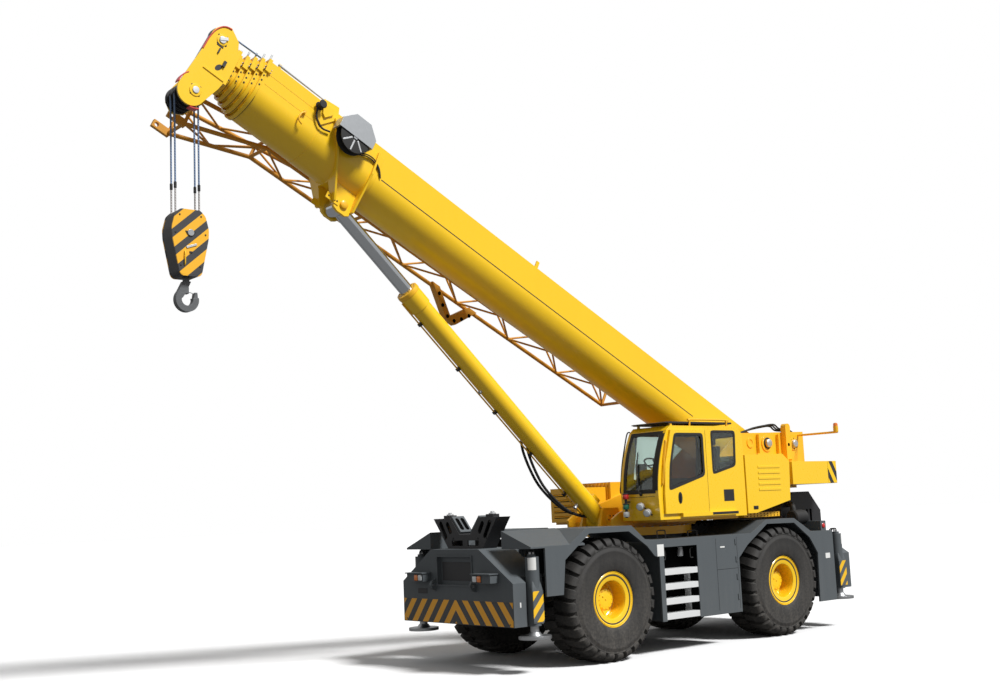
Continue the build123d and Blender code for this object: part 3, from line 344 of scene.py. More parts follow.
def lathe(profile: Sequence[Point], place: Point = (0, 0, 0), direction: Point = (0, 1, 0),
          segments: int = 24) -> Shell:
    """A turned solid: circles of each radius stacked at each height, closed by a face at both ends.

    Args:
        profile: (radius, height) pairs from one end to the other.
        place: where height 0 is.
        direction: which way the height grows.
        segments: how many sides a circle has.

    Returns:
        A closed solid shell.
    """
    p = np.asarray(profile, float)
    angle = np.arange(segments) * TURN / segments
    height = np.broadcast_to(p[:, 1:2], (len(p), segments))
    rows = np.stack([np.outer(p[:, 0], np.cos(angle)), np.outer(p[:, 0], np.sin(angle)), height], axis=-1)
    return grid(rows, caps=True).outward().moved(facing(direction, place))


def discs(profile: Sequence[Point], x: float, y: float, z: float) -> list[Shell]:
    """A turned piece on both sides of the crane, its height growing outwards from y."""
    return [lathe(profile, (x, side * y, z), (0, side, 0)) for side in SIDES]


def ring(radius: float, thickness: float, segments: int = 40, sides: int = 10) -> Shell:
    """A round ring about Z, from the cosines and sines of two angles."""
    angle = np.arange(segments) * TURN / segments
    turn = np.arange(sides) * TURN / sides
    reach = radius + thickness * np.cos(turn)
    height = np.broadcast_to(thickness * np.sin(turn), (segments, sides))
    return grid(np.stack([np.outer(np.cos(angle), reach), np.outer(np.sin(angle), reach), height], axis=-1),
                closed_along=True).outward()


def bolts(places: Sequence[Point], direction: Point, size: float, rise: float = 0.65) -> Shell:
    """Bolt heads standing on their places, all facing one way, with their height as a share of their size."""
    return copies(bolt_head(size, size * rise), [facing(direction, place) for place in places])


def fractions(count: int) -> Array:
    """Even fractions of a turn."""
    return np.arange(count) / count


def round_places(middle: Point, radius: float, count: int) -> list[tuple[float, float, float]]:
    """Places on a circle about Y, at even angles from X."""
    x, y, z = middle
    return [(x + radius * math.cos(TURN * f), y, z + radius * math.sin(TURN * f)) for f in fractions(count)]


def paired(*ranges: tuple[Point, Point, Point]) -> list[Shell]:
    """Boxes on both sides of the crane, each given by its ranges along x, y and z."""
    return [box((x[0], side * y[0], z[0]), (x[1], side * y[1], z[1])) for side in SIDES for x, y, z in ranges]


# Places

@dataclass(frozen=True)
class Layout:
    """Where things are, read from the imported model."""

    shift: float
    pivot: tuple[float, float]
    pitch: float
    lift_eye: tuple[float, float]
    lift_angle: float

    @classmethod
    def from_frame(cls) -> "Layout":
        """Reads the axles' boxes and the joints' places."""
        joints = {joint["name"]: joint for joint in frame["joints"]}
        ends = [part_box("front_axle"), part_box("rear_axle")]
        shift = sum((low.x + high.x) / 2 for low, high in ends) / 2
        boom_axis = joints["extend_2"]["axis"]
        lift_axis = joints["lift_stroke"]["axis"]
        luff, swing = (joints[name]["pos_m"] for name in ("luff", "lift_swing"))
        return cls(shift, (luff[0], luff[2]), math.atan2(boom_axis[2], boom_axis[0]), (swing[0], swing[2]),
                   math.atan2(-lift_axis[2], -lift_axis[0]))

    def base(self) -> Matrix:
        """The matrix from carrier places to the frame."""
        return Matrix.Translation((self.shift, 0, 0))

    def boom(self) -> Matrix:
        """The matrix from boom places (s, y, t) to the frame."""
        return Matrix.Translation((self.pivot[0], 0, self.pivot[1])) @ Matrix.Rotation(-self.pitch, 4, "Y")

    def lift(self) -> Matrix:
        """The matrix from places along the luffing cylinder, measured back from its upper eye."""
        move = Matrix.Translation((self.lift_eye[0], 0, self.lift_eye[1]))
        return move @ Matrix.Rotation(math.pi - self.lift_angle, 4, "Y") @ Matrix.Rotation(math.pi, 4, "X")


# Finishes

class Nodes:
    """A short way to lay out a node tree."""

    def __init__(self, tree: bpy.types.NodeTree) -> None:
        """Keeps the tree to add to."""
        self.tree = tree

    def add(self, kind: str, inputs: dict | None = None, **settings) -> bpy.types.Node:
        """Adds a node, sets its properties, and links or sets its inputs.

        Args:
            kind: the node's type name, less the word that shader nodes begin with.
            inputs: input name or number to a value or an output socket.
            **settings: properties of the node.

        Returns:
            The node.
        """
        node = self.tree.nodes.new(kind if kind.startswith("Node") else "ShaderNode" + kind)
        for key, value in settings.items():
            setattr(node, key, value)
        for key, value in (inputs or {}).items():
            if isinstance(value, bpy.types.NodeSocket):
                self.tree.links.new(value, node.inputs[key])
            else:
                node.inputs[key].default_value = value
        return node

    def math(self, operation: str, *values) -> bpy.types.NodeSocket:
        """Adds a Math node over values or sockets and returns its output."""
        return self.add("Math", dict(enumerate(values)), operation=operation).outputs[0]


def new_group(name: str, inputs: Sequence[tuple],
              outputs: Sequence[tuple]) -> tuple[bpy.types.NodeTree, Nodes]:
    """Starts a shader node group.

    Args:
        name: the group's name.
        inputs: (name, socket type, default) for each input.
        outputs: (name, socket type) for each output.

    Returns:
        The group and its node helper.
    """
    tree = bpy.data.node_groups.new(name, "ShaderNodeTree")
    for label, kind, value in inputs:
        socket = tree.interface.new_socket(label, in_out="INPUT", socket_type="NodeSocket" + kind)
        socket.default_value = value
    for label, kind in outputs:
        tree.interface.new_socket(label, in_out="OUTPUT", socket_type="NodeSocket" + kind)
    return tree, Nodes(tree)


class Groups:
    """The shader groups that more than one finish uses, built once."""

    def __init__(self) -> None:
        """Builds every group."""
        self.weathered = self._weathered()
        self.skin = self._skin()
        self.bands = self._bands()

    @staticmethod
    def _weathered() -> bpy.types.NodeTree:
        """Slow tone changes, streaks and dust that thins out with height."""
        tree, n = new_group(
            "weathered surface",
            [("Colour", "Color", (0.5, 0.5, 0.5, 1)), ("Dust", "Color", (0.36, 0.32, 0.27, 1)),
             ("Dust amount", "Float", 0.1), ("Dust height", "Float", 1.2), ("Tone", "Float", 0.08),
             ("Roughness", "Float", 0.4), ("Roughness spread", "Float", 0.1)],
            [("Colour", "Color"), ("Roughness", "Float")])
        given = n.add("NodeGroupInput").outputs
        place = n.add("TexCoord").outputs["Object"]
        slow = n.add("TexNoise", {"Vector": place, "Scale": 0.9, "Detail": 4.0, "Roughness": 0.6}).outputs[0]
        stretched = n.add("Mapping", {"Vector": place, "Scale": (7.0, 7.0, 0.7)}).outputs[0]
        streaks = n.add("TexNoise", {"Vector": stretched, "Scale": 1.3, "Detail": 5.0}).outputs[0]
        fine = n.add("TexNoise", {"Vector": place, "Scale": 26.0, "Detail": 6.0, "Roughness": 0.7}).outputs[0]
        height = n.add("SeparateXYZ", {"Vector": place}).outputs["Z"]
        spread = n.math("MULTIPLY", n.math("SUBTRACT", n.math("ADD", slow, streaks), 1.0), given["Tone"])
        value = n.math("ADD", 1.0, spread)
        toned = n.add("HueSaturation", {"Color": given["Colour"], "Value": value}).outputs[0]
        low = n.math("SUBTRACT", 1.0, n.math("DIVIDE", height, given["Dust height"]))
        low = n.math("MAXIMUM", low, 0.12)
        patchy = n.add("MapRange", {"Value": n.math("MULTIPLY", fine, n.math("ADD", streaks, 0.5)),
                                    "From Min": 0.35, "From Max": 0.75}).outputs[0]
        dust = n.math("MULTIPLY", n.math("MULTIPLY", low, patchy), given["Dust amount"])
        dust = n.math("MINIMUM", dust, 0.85)
        mixed = n.add("Mix", {0: dust, 6: toned, 7: given["Dust"]}, data_type="RGBA")
        rough = n.math("MULTIPLY", n.math("SUBTRACT", fine, 0.5), given["Roughness spread"])
        rough = n.math("ADD", n.math("ADD", given["Roughness"], rough), n.math("MULTIPLY", dust, 0.5))
        n.add("NodeGroupOutput", {"Colour": mixed.outputs[2], "Roughness": rough})
        return tree

    @staticmethod
    def _skin() -> bpy.types.NodeTree:
        """A fine grain over edges that catch the light as if slightly rounded."""
        tree, n = new_group(
            "skin and edges",
            [("Grain scale", "Float", 300.0), ("Grain depth", "Float", 0.0005), ("Wave scale", "Float", 5.0),
             ("Wave depth", "Float", 0.0), ("Edge radius", "Float", 0.006)],
            [("Normal", "Vector")])
        given = n.add("NodeGroupInput").outputs
        place = n.add("TexCoord").outputs["Object"]
        edge = n.add("Bevel", {"Radius": given["Edge radius"]}, samples=4).outputs[0]
        grain = n.add("TexNoise", {"Vector": place, "Scale": given["Grain scale"], "Detail": 3.0}).outputs[0]
        wave = n.add("TexNoise", {"Vector": place, "Scale": given["Wave scale"], "Detail": 2.0}).outputs[0]
        height = n.math("ADD", n.math("MULTIPLY", grain, given["Grain depth"]),
                        n.math("MULTIPLY", wave, given["Wave depth"]))
        bump = n.add("Bump", {"Height": height, "Normal": edge, "Strength": 1.0, "Distance": 1.0}).outputs[0]
        n.add("NodeGroupOutput", {"Normal": bump})
        return tree

    @staticmethod
    def _bands() -> bpy.types.NodeTree:
        """Leaning bands: the mask is 1 where the fraction of (across + lean x up) / pitch passes the duty."""
        tree, n = new_group(
            "leaning bands",
            [("Across", "Vector", (0, 1, 0)), ("Up", "Vector", (0, 0, 1)), ("Lean", "Float", 0.5),
             ("Pitch", "Float", 0.3), ("Duty", "Float", 0.5), ("Offset", "Float", 0.0),
             ("Mirror", "Float", 0.0)],
            [("Mask", "Float")])
        given = n.add("NodeGroupInput").outputs
        place = n.add("TexCoord").outputs["Object"]
        across = n.add("VectorMath", {0: place, 1: given["Across"]}, operation="DOT_PRODUCT").outputs["Value"]
        up = n.add("VectorMath", {0: place, 1: given["Up"]}, operation="DOT_PRODUCT").outputs["Value"]
        folded = n.math("ABSOLUTE", across)
        plain = n.math("MULTIPLY", across, n.math("SUBTRACT", 1.0, given["Mirror"]))
        across = n.math("ADD", plain, n.math("MULTIPLY", folded, given["Mirror"]))
        sum_up = n.math("ADD", n.math("ADD", across, n.math("MULTIPLY", up, given["Lean"])), given["Offset"])
        part = n.math("FLOORED_MODULO", n.math("DIVIDE", sum_up, given["Pitch"]), 1.0)
        n.add("NodeGroupOutput", {"Mask": n.math("GREATER_THAN", part, given["Duty"])})
        return tree


@dataclass(frozen=True)
class Finish:
    """A finish: its colour, gloss, tone changes, dust and grain."""

    name: str
    slot: Slot
    colour: tuple[float, float, float]
    roughness: float = 0.4
    metallic: float = 0.0
    coat: float = 0.0
    specular: float = 0.5
    tone: float = 0.08
    dust: float = 0.15
    dust_height: float = 1.6
    spread: float = 0.12
    grain_scale: float = 260.0
    grain_depth: float = 0.0003
    wave_scale: float = 4.0
    wave_depth: float = 0.0
    edge_radius: float = 0.006

    def build(self, groups: Groups) -> bpy.types.Material:
        """Makes the material.

        Args:
            groups: the shared node groups.

        Returns:
            The material.
        """
        material = bpy.data.materials.new(self.name)
        material.use_nodes = True
        material.node_tree.nodes.clear()
        n = Nodes(material.node_tree)
        surface = n.add("Group", {
            "Colour": (*self.colour, 1), "Dust amount": self.dust, "Dust height": self.dust_height,
            "Tone": self.tone, "Roughness": self.roughness, "Roughness spread": self.spread},
            node_tree=groups.weathered)
        self.recolour(n, groups, surface)
        skin = n.add("Group", {
            "Grain scale": self.grain_scale, "Grain depth": self.grain_depth,
            "Wave scale": self.wave_scale, "Wave depth": self.wave_depth,
            "Edge radius": self.edge_radius}, node_tree=groups.skin)
        shader = n.add("BsdfPrincipled", {
            "Base Color": surface.outputs["Colour"], "Roughness": surface.outputs["Roughness"],
            "Normal": skin.outputs["Normal"], "Metallic": self.metallic, "Coat Weight": self.coat,
            "Coat Roughness": 0.12, "Specular IOR Level": self.specular})
        self.finish_shader(n, shader)
        n.add("OutputMaterial", {"Surface": shader.outputs[0]})
        return material

    def recolour(self, n: Nodes, groups: Groups, surface: bpy.types.Node) -> None:
        """Changes the colour that goes into the weathered surface; a plain finish leaves it."""

    def mix_in(self, n: Nodes, mask: bpy.types.NodeSocket, other: tuple[float, float, float],
               surface: bpy.types.Node) -> None:
        """Gives the weathered surface the finish's colour, with another where the mask is 1."""
        mix = n.add("Mix", {0: mask, 6: (*self.colour, 1), 7: (*other, 1)}, data_type="RGBA")
        n.tree.links.new(mix.outputs[2], surface.inputs["Colour"])

    def finish_shader(self, n: Nodes, shader: bpy.types.Node) -> None:
        """Sets what else the shader needs; a plain finish leaves it."""


@dataclass(frozen=True)
class Striped(Finish):
    """Two colours in leaning bands."""

    second: tuple[float, float, float] = (0.02, 0.02, 0.02)
    across: tuple[float, float, float] = (0, 1, 0)
    up: tuple[float, float, float] = (0, 0, 1)
    lean: float = 0.5
    pitch: float = 0.3
    duty: float = 0.5
    offset: float = 0.0
    mirror: float = 0.0

    def recolour(self, n: Nodes, groups: Groups, surface: bpy.types.Node) -> None:
        """Mixes the two colours by the bands' mask."""
        bands = n.add("Group", {
            "Across": self.across, "Up": self.up, "Lean": self.lean, "Pitch": self.pitch,
            "Duty": self.duty, "Offset": self.offset, "Mirror": self.mirror}, node_tree=groups.bands)
        self.mix_in(n, bands.outputs["Mask"], self.second, surface)


@dataclass(frozen=True)
class Glazing(Finish):
    """Tinted cab glass, thin enough to see the seat through."""

    def finish_shader(self, n: Nodes, shader: bpy.types.Node) -> None:
        """Lets light through the pane."""
        shader.inputs["Transmission Weight"].default_value = 1.0
        shader.inputs["IOR"].default_value = 1.45
        shader.inputs["Coat Weight"].default_value = 0.4


@dataclass(frozen=True)
class InsideShaded(Finish):
    """A finish with a near-black colour painted as shade on what lies inside a box, such as the inner walls
    of the cab.
    """

    inside_shade: tuple[float, float, float] = (0.03, 0.03, 0.032)
    middle: tuple[float, float, float] = (0, 0, 0)
    half: tuple[float, float, float] = (1, 1, 1)

    def recolour(self, n: Nodes, groups: Groups, surface: bpy.types.Node) -> None:
        """Mixes in the painted inside shade where the distance from the middle is under the half size on
        every axis.
        """
        place = n.add("TexCoord").outputs["Object"]
        away = n.add("VectorMath", {0: place, 1: self.middle}, operation="SUBTRACT").outputs[0]
        away = n.add("VectorMath", {0: away}, operation="ABSOLUTE").outputs[0]
        room = n.add("VectorMath", {0: self.half, 1: away}, operation="SUBTRACT").outputs[0]
        x, y, z = n.add("SeparateXYZ", {"Vector": room}).outputs
        inside = n.math("GREATER_THAN", n.math("MINIMUM", n.math("MINIMUM", x, y), z), 0.0)
        self.mix_in(n, inside, self.inside_shade, surface)


@dataclass(frozen=True)
class Stranded(Finish):
    """Wire rope: diagonal strands as bump, and a paler stretch below a height."""

    strand_pitch: float = 0.03
    lower: tuple[float, float, float] = (0.40, 0.38, 0.37)
    lower_top: float = 6.68

    def recolour(self, n: Nodes, groups: Groups, surface: bpy.types.Node) -> None:
        """Mixes in the lower stretch's colour under its top."""
        height = n.add("SeparateXYZ", {"Vector": n.add("TexCoord").outputs["Object"]}).outputs["Z"]
        self.mix_in(n, n.math("LESS_THAN", height, self.lower_top), self.lower, surface)

    def finish_shader(self, n: Nodes, shader: bpy.types.Node) -> None:
        """Adds a fast wave along the rope to its normal."""
        place = n.add("TexCoord").outputs["Object"]
        turned = n.add("Mapping", {"Vector": place, "Rotation": (0.5, 0.5, 0.0)}).outputs[0]
        scale = 1 / self.strand_pitch / 3
        wave = n.add("TexWave", {"Vector": turned, "Scale": scale}, bands_direction="Z").outputs[1]
        bump = n.add("Bump", {"Height": wave, "Strength": 0.6, "Distance": 0.004}).outputs[0]
        n.tree.links.new(bump, shader.inputs["Normal"])


class Finishes:
    """Every finish of the crane, each built when it is first asked for."""

    ENAMEL = (0.97, 0.60, 0.011)
    # A darker, more orange copy of the yellow: painted shade for the parts that lie in shade.
    PAINTED_SHADE_ENAMEL = (0.92, 0.49, 0.012)
    SLATE = (0.088, 0.100, 0.108)

    KNOWN = (
        Finish("boom enamel", Slot.YELLOW, ENAMEL, 0.34, coat=0.35, tone=0.05, dust=0.05,
               grain_depth=0.00012),
        Finish("cab enamel", Slot.YELLOW, ENAMEL, 0.28, coat=0.5, tone=0.03, dust=0.06, grain_depth=0.0001),
        # Painted shade: this finish is the darker copy of the yellow, used on parts in shade.
        Finish("frame enamel", Slot.YELLOW, PAINTED_SHADE_ENAMEL, 0.42, coat=0.2, tone=0.08, dust=0.15),
        Finish("slate enamel", Slot.GREY, SLATE, 0.55, specular=0.4, tone=0.10, dust=0.08,
               grain_depth=0.0002),
        # Real black paint, and also painted shade on the collar gaps and the boom head's oval hole.
        Finish("black enamel", Slot.BLACK, (0.016, 0.016, 0.018), 0.5, tone=0.15, dust=0.10),
        Finish("deep shadow", Slot.BLACK, (0.004, 0.004, 0.004), 0.95, specular=0.0, tone=0.1, dust=0.0),
        Finish("black rubber", Slot.BLACK, (0.012, 0.012, 0.012), 0.7, tone=0.2, dust=0.04,
               grain_depth=0.0004),
        Finish("tyre rubber", Slot.TYRE, (0.021, 0.020, 0.019), 0.72, tone=0.30, dust=0.22, dust_height=1.9,
               grain_scale=140.0, grain_depth=0.0008, edge_radius=0.008),
        Finish("chromed rod", Slot.ROD, (0.66, 0.69, 0.72), 0.13, metallic=1.0, tone=0.05, dust=0.02,
               grain_scale=500.0, grain_depth=0.00005),
        Finish("machined steel", Slot.STEEL, (0.42, 0.43, 0.44), 0.38, metallic=0.9, tone=0.12, dust=0.1),
        Finish("zinc steel", Slot.STEEL, (0.55, 0.56, 0.57), 0.45, metallic=0.7, tone=0.12, dust=0.1),
        Finish("ribbed aluminium", Slot.TREAD, (0.80, 0.81, 0.81), 0.48, metallic=0.25, tone=0.08, dust=0.08),
        Finish("forged iron", Slot.IRON, (0.12, 0.125, 0.13), 0.5, metallic=0.4, tone=0.2, dust=0.1,
               wave_scale=20.0, wave_depth=0.002),
        Finish("guard red", Slot.LAMP, (0.62, 0.035, 0.03), 0.4, coat=0.3, tone=0.08, dust=0.05),
        Finish("lens red", Slot.LAMP, (0.6, 0.02, 0.02), 0.15, coat=0.8, tone=0.02, dust=0.05),
        Finish("lens amber", Slot.LAMP, (0.85, 0.22, 0.02), 0.15, coat=0.8, tone=0.02, dust=0.05),
        Finish("lens clear", Slot.LAMP, (0.72, 0.75, 0.76), 0.12, coat=0.9, tone=0.02, dust=0.08),
        Finish("lens green", Slot.LAMP, (0.02, 0.20, 0.12), 0.2, coat=0.6, tone=0.02, dust=0.05),
        Finish("seat cloth", Slot.SEAT, (0.030, 0.030, 0.034), 0.85, tone=0.2, dust=0.05, grain_scale=420.0,
               grain_depth=0.0012),
        Finish("console plastic", Slot.SEAT, (0.05, 0.05, 0.055), 0.6, tone=0.1, dust=0.05),
        Finish("white plate", Slot.TREAD, (0.78, 0.78, 0.76), 0.4, tone=0.03, dust=0.15),
        Finish("reel silver", Slot.LAMP, (0.50, 0.52, 0.54), 0.32, metallic=0.6, tone=0.06, dust=0.05),
        Finish("jib enamel", Slot.YELLOW, (0.62, 0.28, 0.020), 0.5, tone=0.12, dust=0.12),
        Glazing("cab glass", Slot.GLASS, (0.62, 0.72, 0.68), 0.02, tone=0.02, dust=0.03, spread=0.02,
                grain_depth=0.0),
        # The door glass is darker than the cab glass: painted shade of the cab's inside seen through the door
        # window.
        Glazing("dark door glass", Slot.GLASS, (0.34, 0.40, 0.38), 0.02, tone=0.02, dust=0.03, spread=0.02,
                grain_depth=0.0),
        # The near-black inside of the cab is painted shade.
        InsideShaded("lined cab enamel", Slot.YELLOW, ENAMEL, 0.28, coat=0.5, tone=0.03, dust=0.06,
              grain_depth=0.0001, middle=(-2.366, 1.026, 2.78), half=(0.875, 0.376, 0.71)),
        Stranded("wire rope", Slot.ROPE, (0.13, 0.20, 0.33), 0.5, metallic=0.2, tone=0.2, dust=0.0),
        Striped("front hazard bands", Slot.GREY, (0.045, 0.050, 0.053), 0.45, second=(1.0, 0.46, 0.02),
                lean=0.82, pitch=0.271, duty=0.50, offset=0.2385, mirror=1.0, dust=0.25),
        Striped("jack hazard bands", Slot.GREY, SLATE, 0.42, second=(0.90, 0.52, 0.015),
                across=(1, 0, 0), lean=0.90, pitch=0.216, duty=0.50, offset=0.038, dust=0.1),
        Striped("tail hazard bands", Slot.YELLOW, ENAMEL, 0.34, second=(0.03, 0.03, 0.03),
                across=(1, 0, 0), lean=-0.60, pitch=0.21, duty=0.50, offset=0.02, dust=0.06),
        Striped("hook hazard bands", Slot.YELLOW, (0.90, 0.46, 0.02), 0.42, second=(0.045, 0.045, 0.048),
                across=(1, 0, 0), lean=1.15, pitch=0.30, duty=0.54, offset=0.195, dust=0.05),
    )

    def __init__(self) -> None:
        """Builds the groups and keeps the finishes by name."""
        self._groups = Groups()
        self._known = {finish.name: finish for finish in self.KNOWN}
        self._built: dict[str, bpy.types.Material] = {}

    def get(self, name: str) -> bpy.types.Material:
        """The material of that name."""
        if name not in self._built:
            self._built[name] = self._known[name].build(self._groups)
        return self._built[name]

    def slot(self, name: str) -> str:
        """The record's slot of the finish of that name."""
        return self._known[name].slot.value


# Making pieces

@dataclass
class Workshop:
    """Turns shells into pieces that ride on their bodies."""

    finishes: Finishes
    layout: Layout
    made: int = 0

    def piece(self, name: str, shell: Shell, body: str, finish: str, place: Matrix | None = None,
              replaces: Sequence[str] = (), smooth: float = 35.0) -> None:
        """Adds one piece.

        Args:
            name: the piece's name.
            shell: its surface.
            body: the body it rides on.
            finish: its finish's name.
            place: the matrix from the shell's own places to the frame.
            replaces: the CAD nodes that it stands for.
            smooth: the angle in degrees under which faces blend.
        """
        shell = shell.moved(place) if place is not None else shell
        mesh = bpy.data.meshes.new(name)
        mesh.from_pydata(shell.points, [], shell.faces)
        mesh.polygons.foreach_set("use_smooth", np.ones(len(mesh.polygons), bool))
        mesh.set_sharp_from_angle(angle=math.radians(smooth))
        mesh.materials.append(self.finishes.get(finish))
        mesh.update()
        thing = bpy.data.objects.new(name, mesh)
        bpy.context.scene.collection.objects.link(thing)
        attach(thing, body)
        self.finishes.slot(finish)
        if replaces:
            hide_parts(*replaces)
        self.made += 1
        LOG.info("%s: %d faces on %s", name, len(shell.faces), body)

    def dress(self, node: str, finish: str) -> None:
        """Gives a CAD node its finish."""
        thing = frame["nodes"][node]
        thing.data.materials.clear()
        thing.data.materials.append(self.finishes.get(finish))


@dataclass
class Wheels:
    """The four wheels: tyre, rim with its deep dish, hub and nuts."""

    shop: Workshop
    radius: float = 0.915
    width: float = 0.75
    carcass: float = 0.857
    tyre_segments: int = 132
    lug_count: int = 28
    lug_draft: float = 0.014
    nut_count: int = 20

    def tyre(self) -> Shell:
        """The casing, from a profile with a bulging wall and two raised rings, and its lugs."""
        half = self.width / 2
        wall = np.array([(0.345, 0.322), (0.408, 0.328), (0.420, 0.345), (0.455, 0.356), (0.520, 0.370),
                         (0.600, 0.375), (0.680, 0.372), (0.700, 0.3765), (0.712, 0.3765), (0.728, 0.369),
                         (0.765, 0.358), (0.772, 0.362), (0.784, 0.360), (0.800, 0.342), (0.832, 0.316),
                         (self.carcass, half - 0.10)])
        tread = np.array([(self.carcass + 0.004, 0.12), (self.carcass + 0.005, 0.0)])
        side = np.concatenate([wall, tread])
        other = side[::-1][1:] * (1, -1)
        return joined([revolved(np.concatenate([side, other]), self.tyre_segments), self.lugs()])

    def lugs(self) -> Shell:
        """Two rows of lugs. A lug's sides follow a path over the tread and down the shoulder: at each station
        the path has a half height, a width of arc and a lean, and four corners stand round it."""
        half = self.width / 2
        # stations: y, top radius, root radius, arc width, lean
        stations = np.array([
            (0.012, 0.908, 0.846, 0.104, 0.000), (0.070, 0.912, 0.846, 0.112, 0.006),
            (0.150, 0.9135, 0.846, 0.122, 0.018), (0.225, 0.912, 0.842, 0.130, 0.034),
            (0.285, 0.903, 0.828, 0.136, 0.048), (0.330, 0.882, 0.806, 0.138, 0.058),
            (0.360, 0.852, 0.790, 0.134, 0.064), (half - 0.002, 0.815, 0.780, 0.124, 0.066),
            (half - 0.006, 0.792, 0.775, 0.112, 0.066)])
        y, top, root, wide, lean = stations.T
        foot = wide / 2 + self.lug_draft
        offsets = np.stack([-foot, -wide / 2, wide / 2, foot], axis=1) + lean[:, None]
        radii = np.stack([root, top, top, root], axis=1)
        inset = np.zeros_like(radii)
        inset[-3:, (0, 3)] = 0.030
        angle = offsets / self.radius
        rows = np.stack([radii * np.sin(angle), np.broadcast_to(y[:, None], radii.shape) - inset,
                         radii * np.cos(angle)], axis=-1)
        lug = grid(rows, caps=True).outward()
        turns = [Matrix.Rotation(TURN * f, 4, "Y") for f in fractions(self.lug_count)]
        row = copies(lug, turns)
        other = row.mirrored().moved(Matrix.Rotation(math.pi / self.lug_count, 4, "Y"))
        return joined([row, other])

    def rim(self) -> Shell:
        """The rim: flange, gutter, tapered well and disc, from one closed profile."""
        front = np.array([(0.404, 0.3388), (0.4115, 0.333), (0.4115, 0.326), (0.402, 0.3255), (0.396, 0.3295),
                          (0.386, 0.3345), (0.378, 0.333), (0.366, 0.323), (0.330, 0.318), (0.292, 0.3125),
                          (0.280, 0.308), (0.2755, 0.300), (0.275, 0.24), (0.275, 0.09), (0.270, 0.062),
                          (0.255, 0.0505), (0.10, 0.0505)])
        back = np.array([(0.10, 0.020), (0.280, 0.020), (0.306, 0.0), (0.316, -0.12), (0.322, -0.300),
                         (0.396, -0.334), (0.404, -0.320), (0.334, -0.290), (0.332, 0.290), (0.398, 0.330)])
        return revolved(np.concatenate([front, back]), 96)

    def hub(self) -> Shell:
        """The planetary hub with its stepped cover, two plugs and a web."""
        profile = [(0.196, 0.04), (0.194, 0.062), (0.176, 0.074), (0.158, 0.080), (0.1535, 0.088),
                   (0.153, 0.160), (0.149, 0.1665), (0.120, 0.168), (0.114, 0.170), (0.104, 0.1715),
                   (0.03, 0.1715)]
        plugs = bolts([(0.0, 0.1715, 0.0), (0.055, 0.1715, 0.045)], (0, 1, 0), 0.016)
        web = prism([(-0.085, -0.115), (0.085, -0.115), (0.0, -0.262)], 0.045, 0.150)
        return joined([lathe(profile, segments=64), plugs, web])

    def nuts(self) -> Shell:
        """The wheel nuts on the disc and the cover's bolts."""
        rings = ((0.232, 0.050, 0.015, self.nut_count), (0.134, 0.167, 0.009, 12))
        return joined([bolts(round_places((0, y, 0), radius, count), (0, 1, 0), size, 1.2)
                       for radius, y, size, count in rings])

    def build(self) -> None:
        """Adds the four wheels, each with its own start angle for the lugs."""
        tyre, rim, hub, nuts = self.tyre(), self.rim(), self.hub(), self.nuts()
        for number, label in enumerate(CORNERS):
            low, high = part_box(f"{label}_tyre")
            middle = (low + high) / 2
            flip = Matrix.Scale(1 if middle.y > 0 else -1, 4, Vector((0, 1, 0)))
            place = Matrix.Translation(middle) @ flip @ Matrix.Rotation(0.11 * number, 4, "Y")
            body = f"wheel_{label}"
            self.shop.piece(f"tyre_{label}", tyre, body, "tyre rubber", place, [f"{label}_tyre"], smooth=38)
            self.shop.piece(f"rim_{label}", rim, body, "cab enamel", place, [f"{label}_rim"])
            self.shop.piece(f"hub_{label}", hub, body, "cab enamel", place)
            self.shop.piece(f"nuts_{label}", nuts, body, "frame enamel", place)


@dataclass
class Trim:
    """What every group of fine pieces shares: the shop and the body that it rides on."""

    shop: Workshop
    body: str = "carrier"
    stands_for: dict[str, tuple[str, ...]] = field(default_factory=dict)

    def place(self) -> Matrix:
        """The matrix from the group's own places to the frame."""
        return self.shop.layout.base()

    def parts(self) -> Parts:
        """The pieces as (name, finish, shells)."""
        return ()

    def build(self) -> None:
        """Adds every piece."""
        for name, finish, shells in self.parts():
            replaced = self.stands_for.get(name, ())
            self.shop.piece(name, joined(shells), self.body, finish, self.place(), replaced)


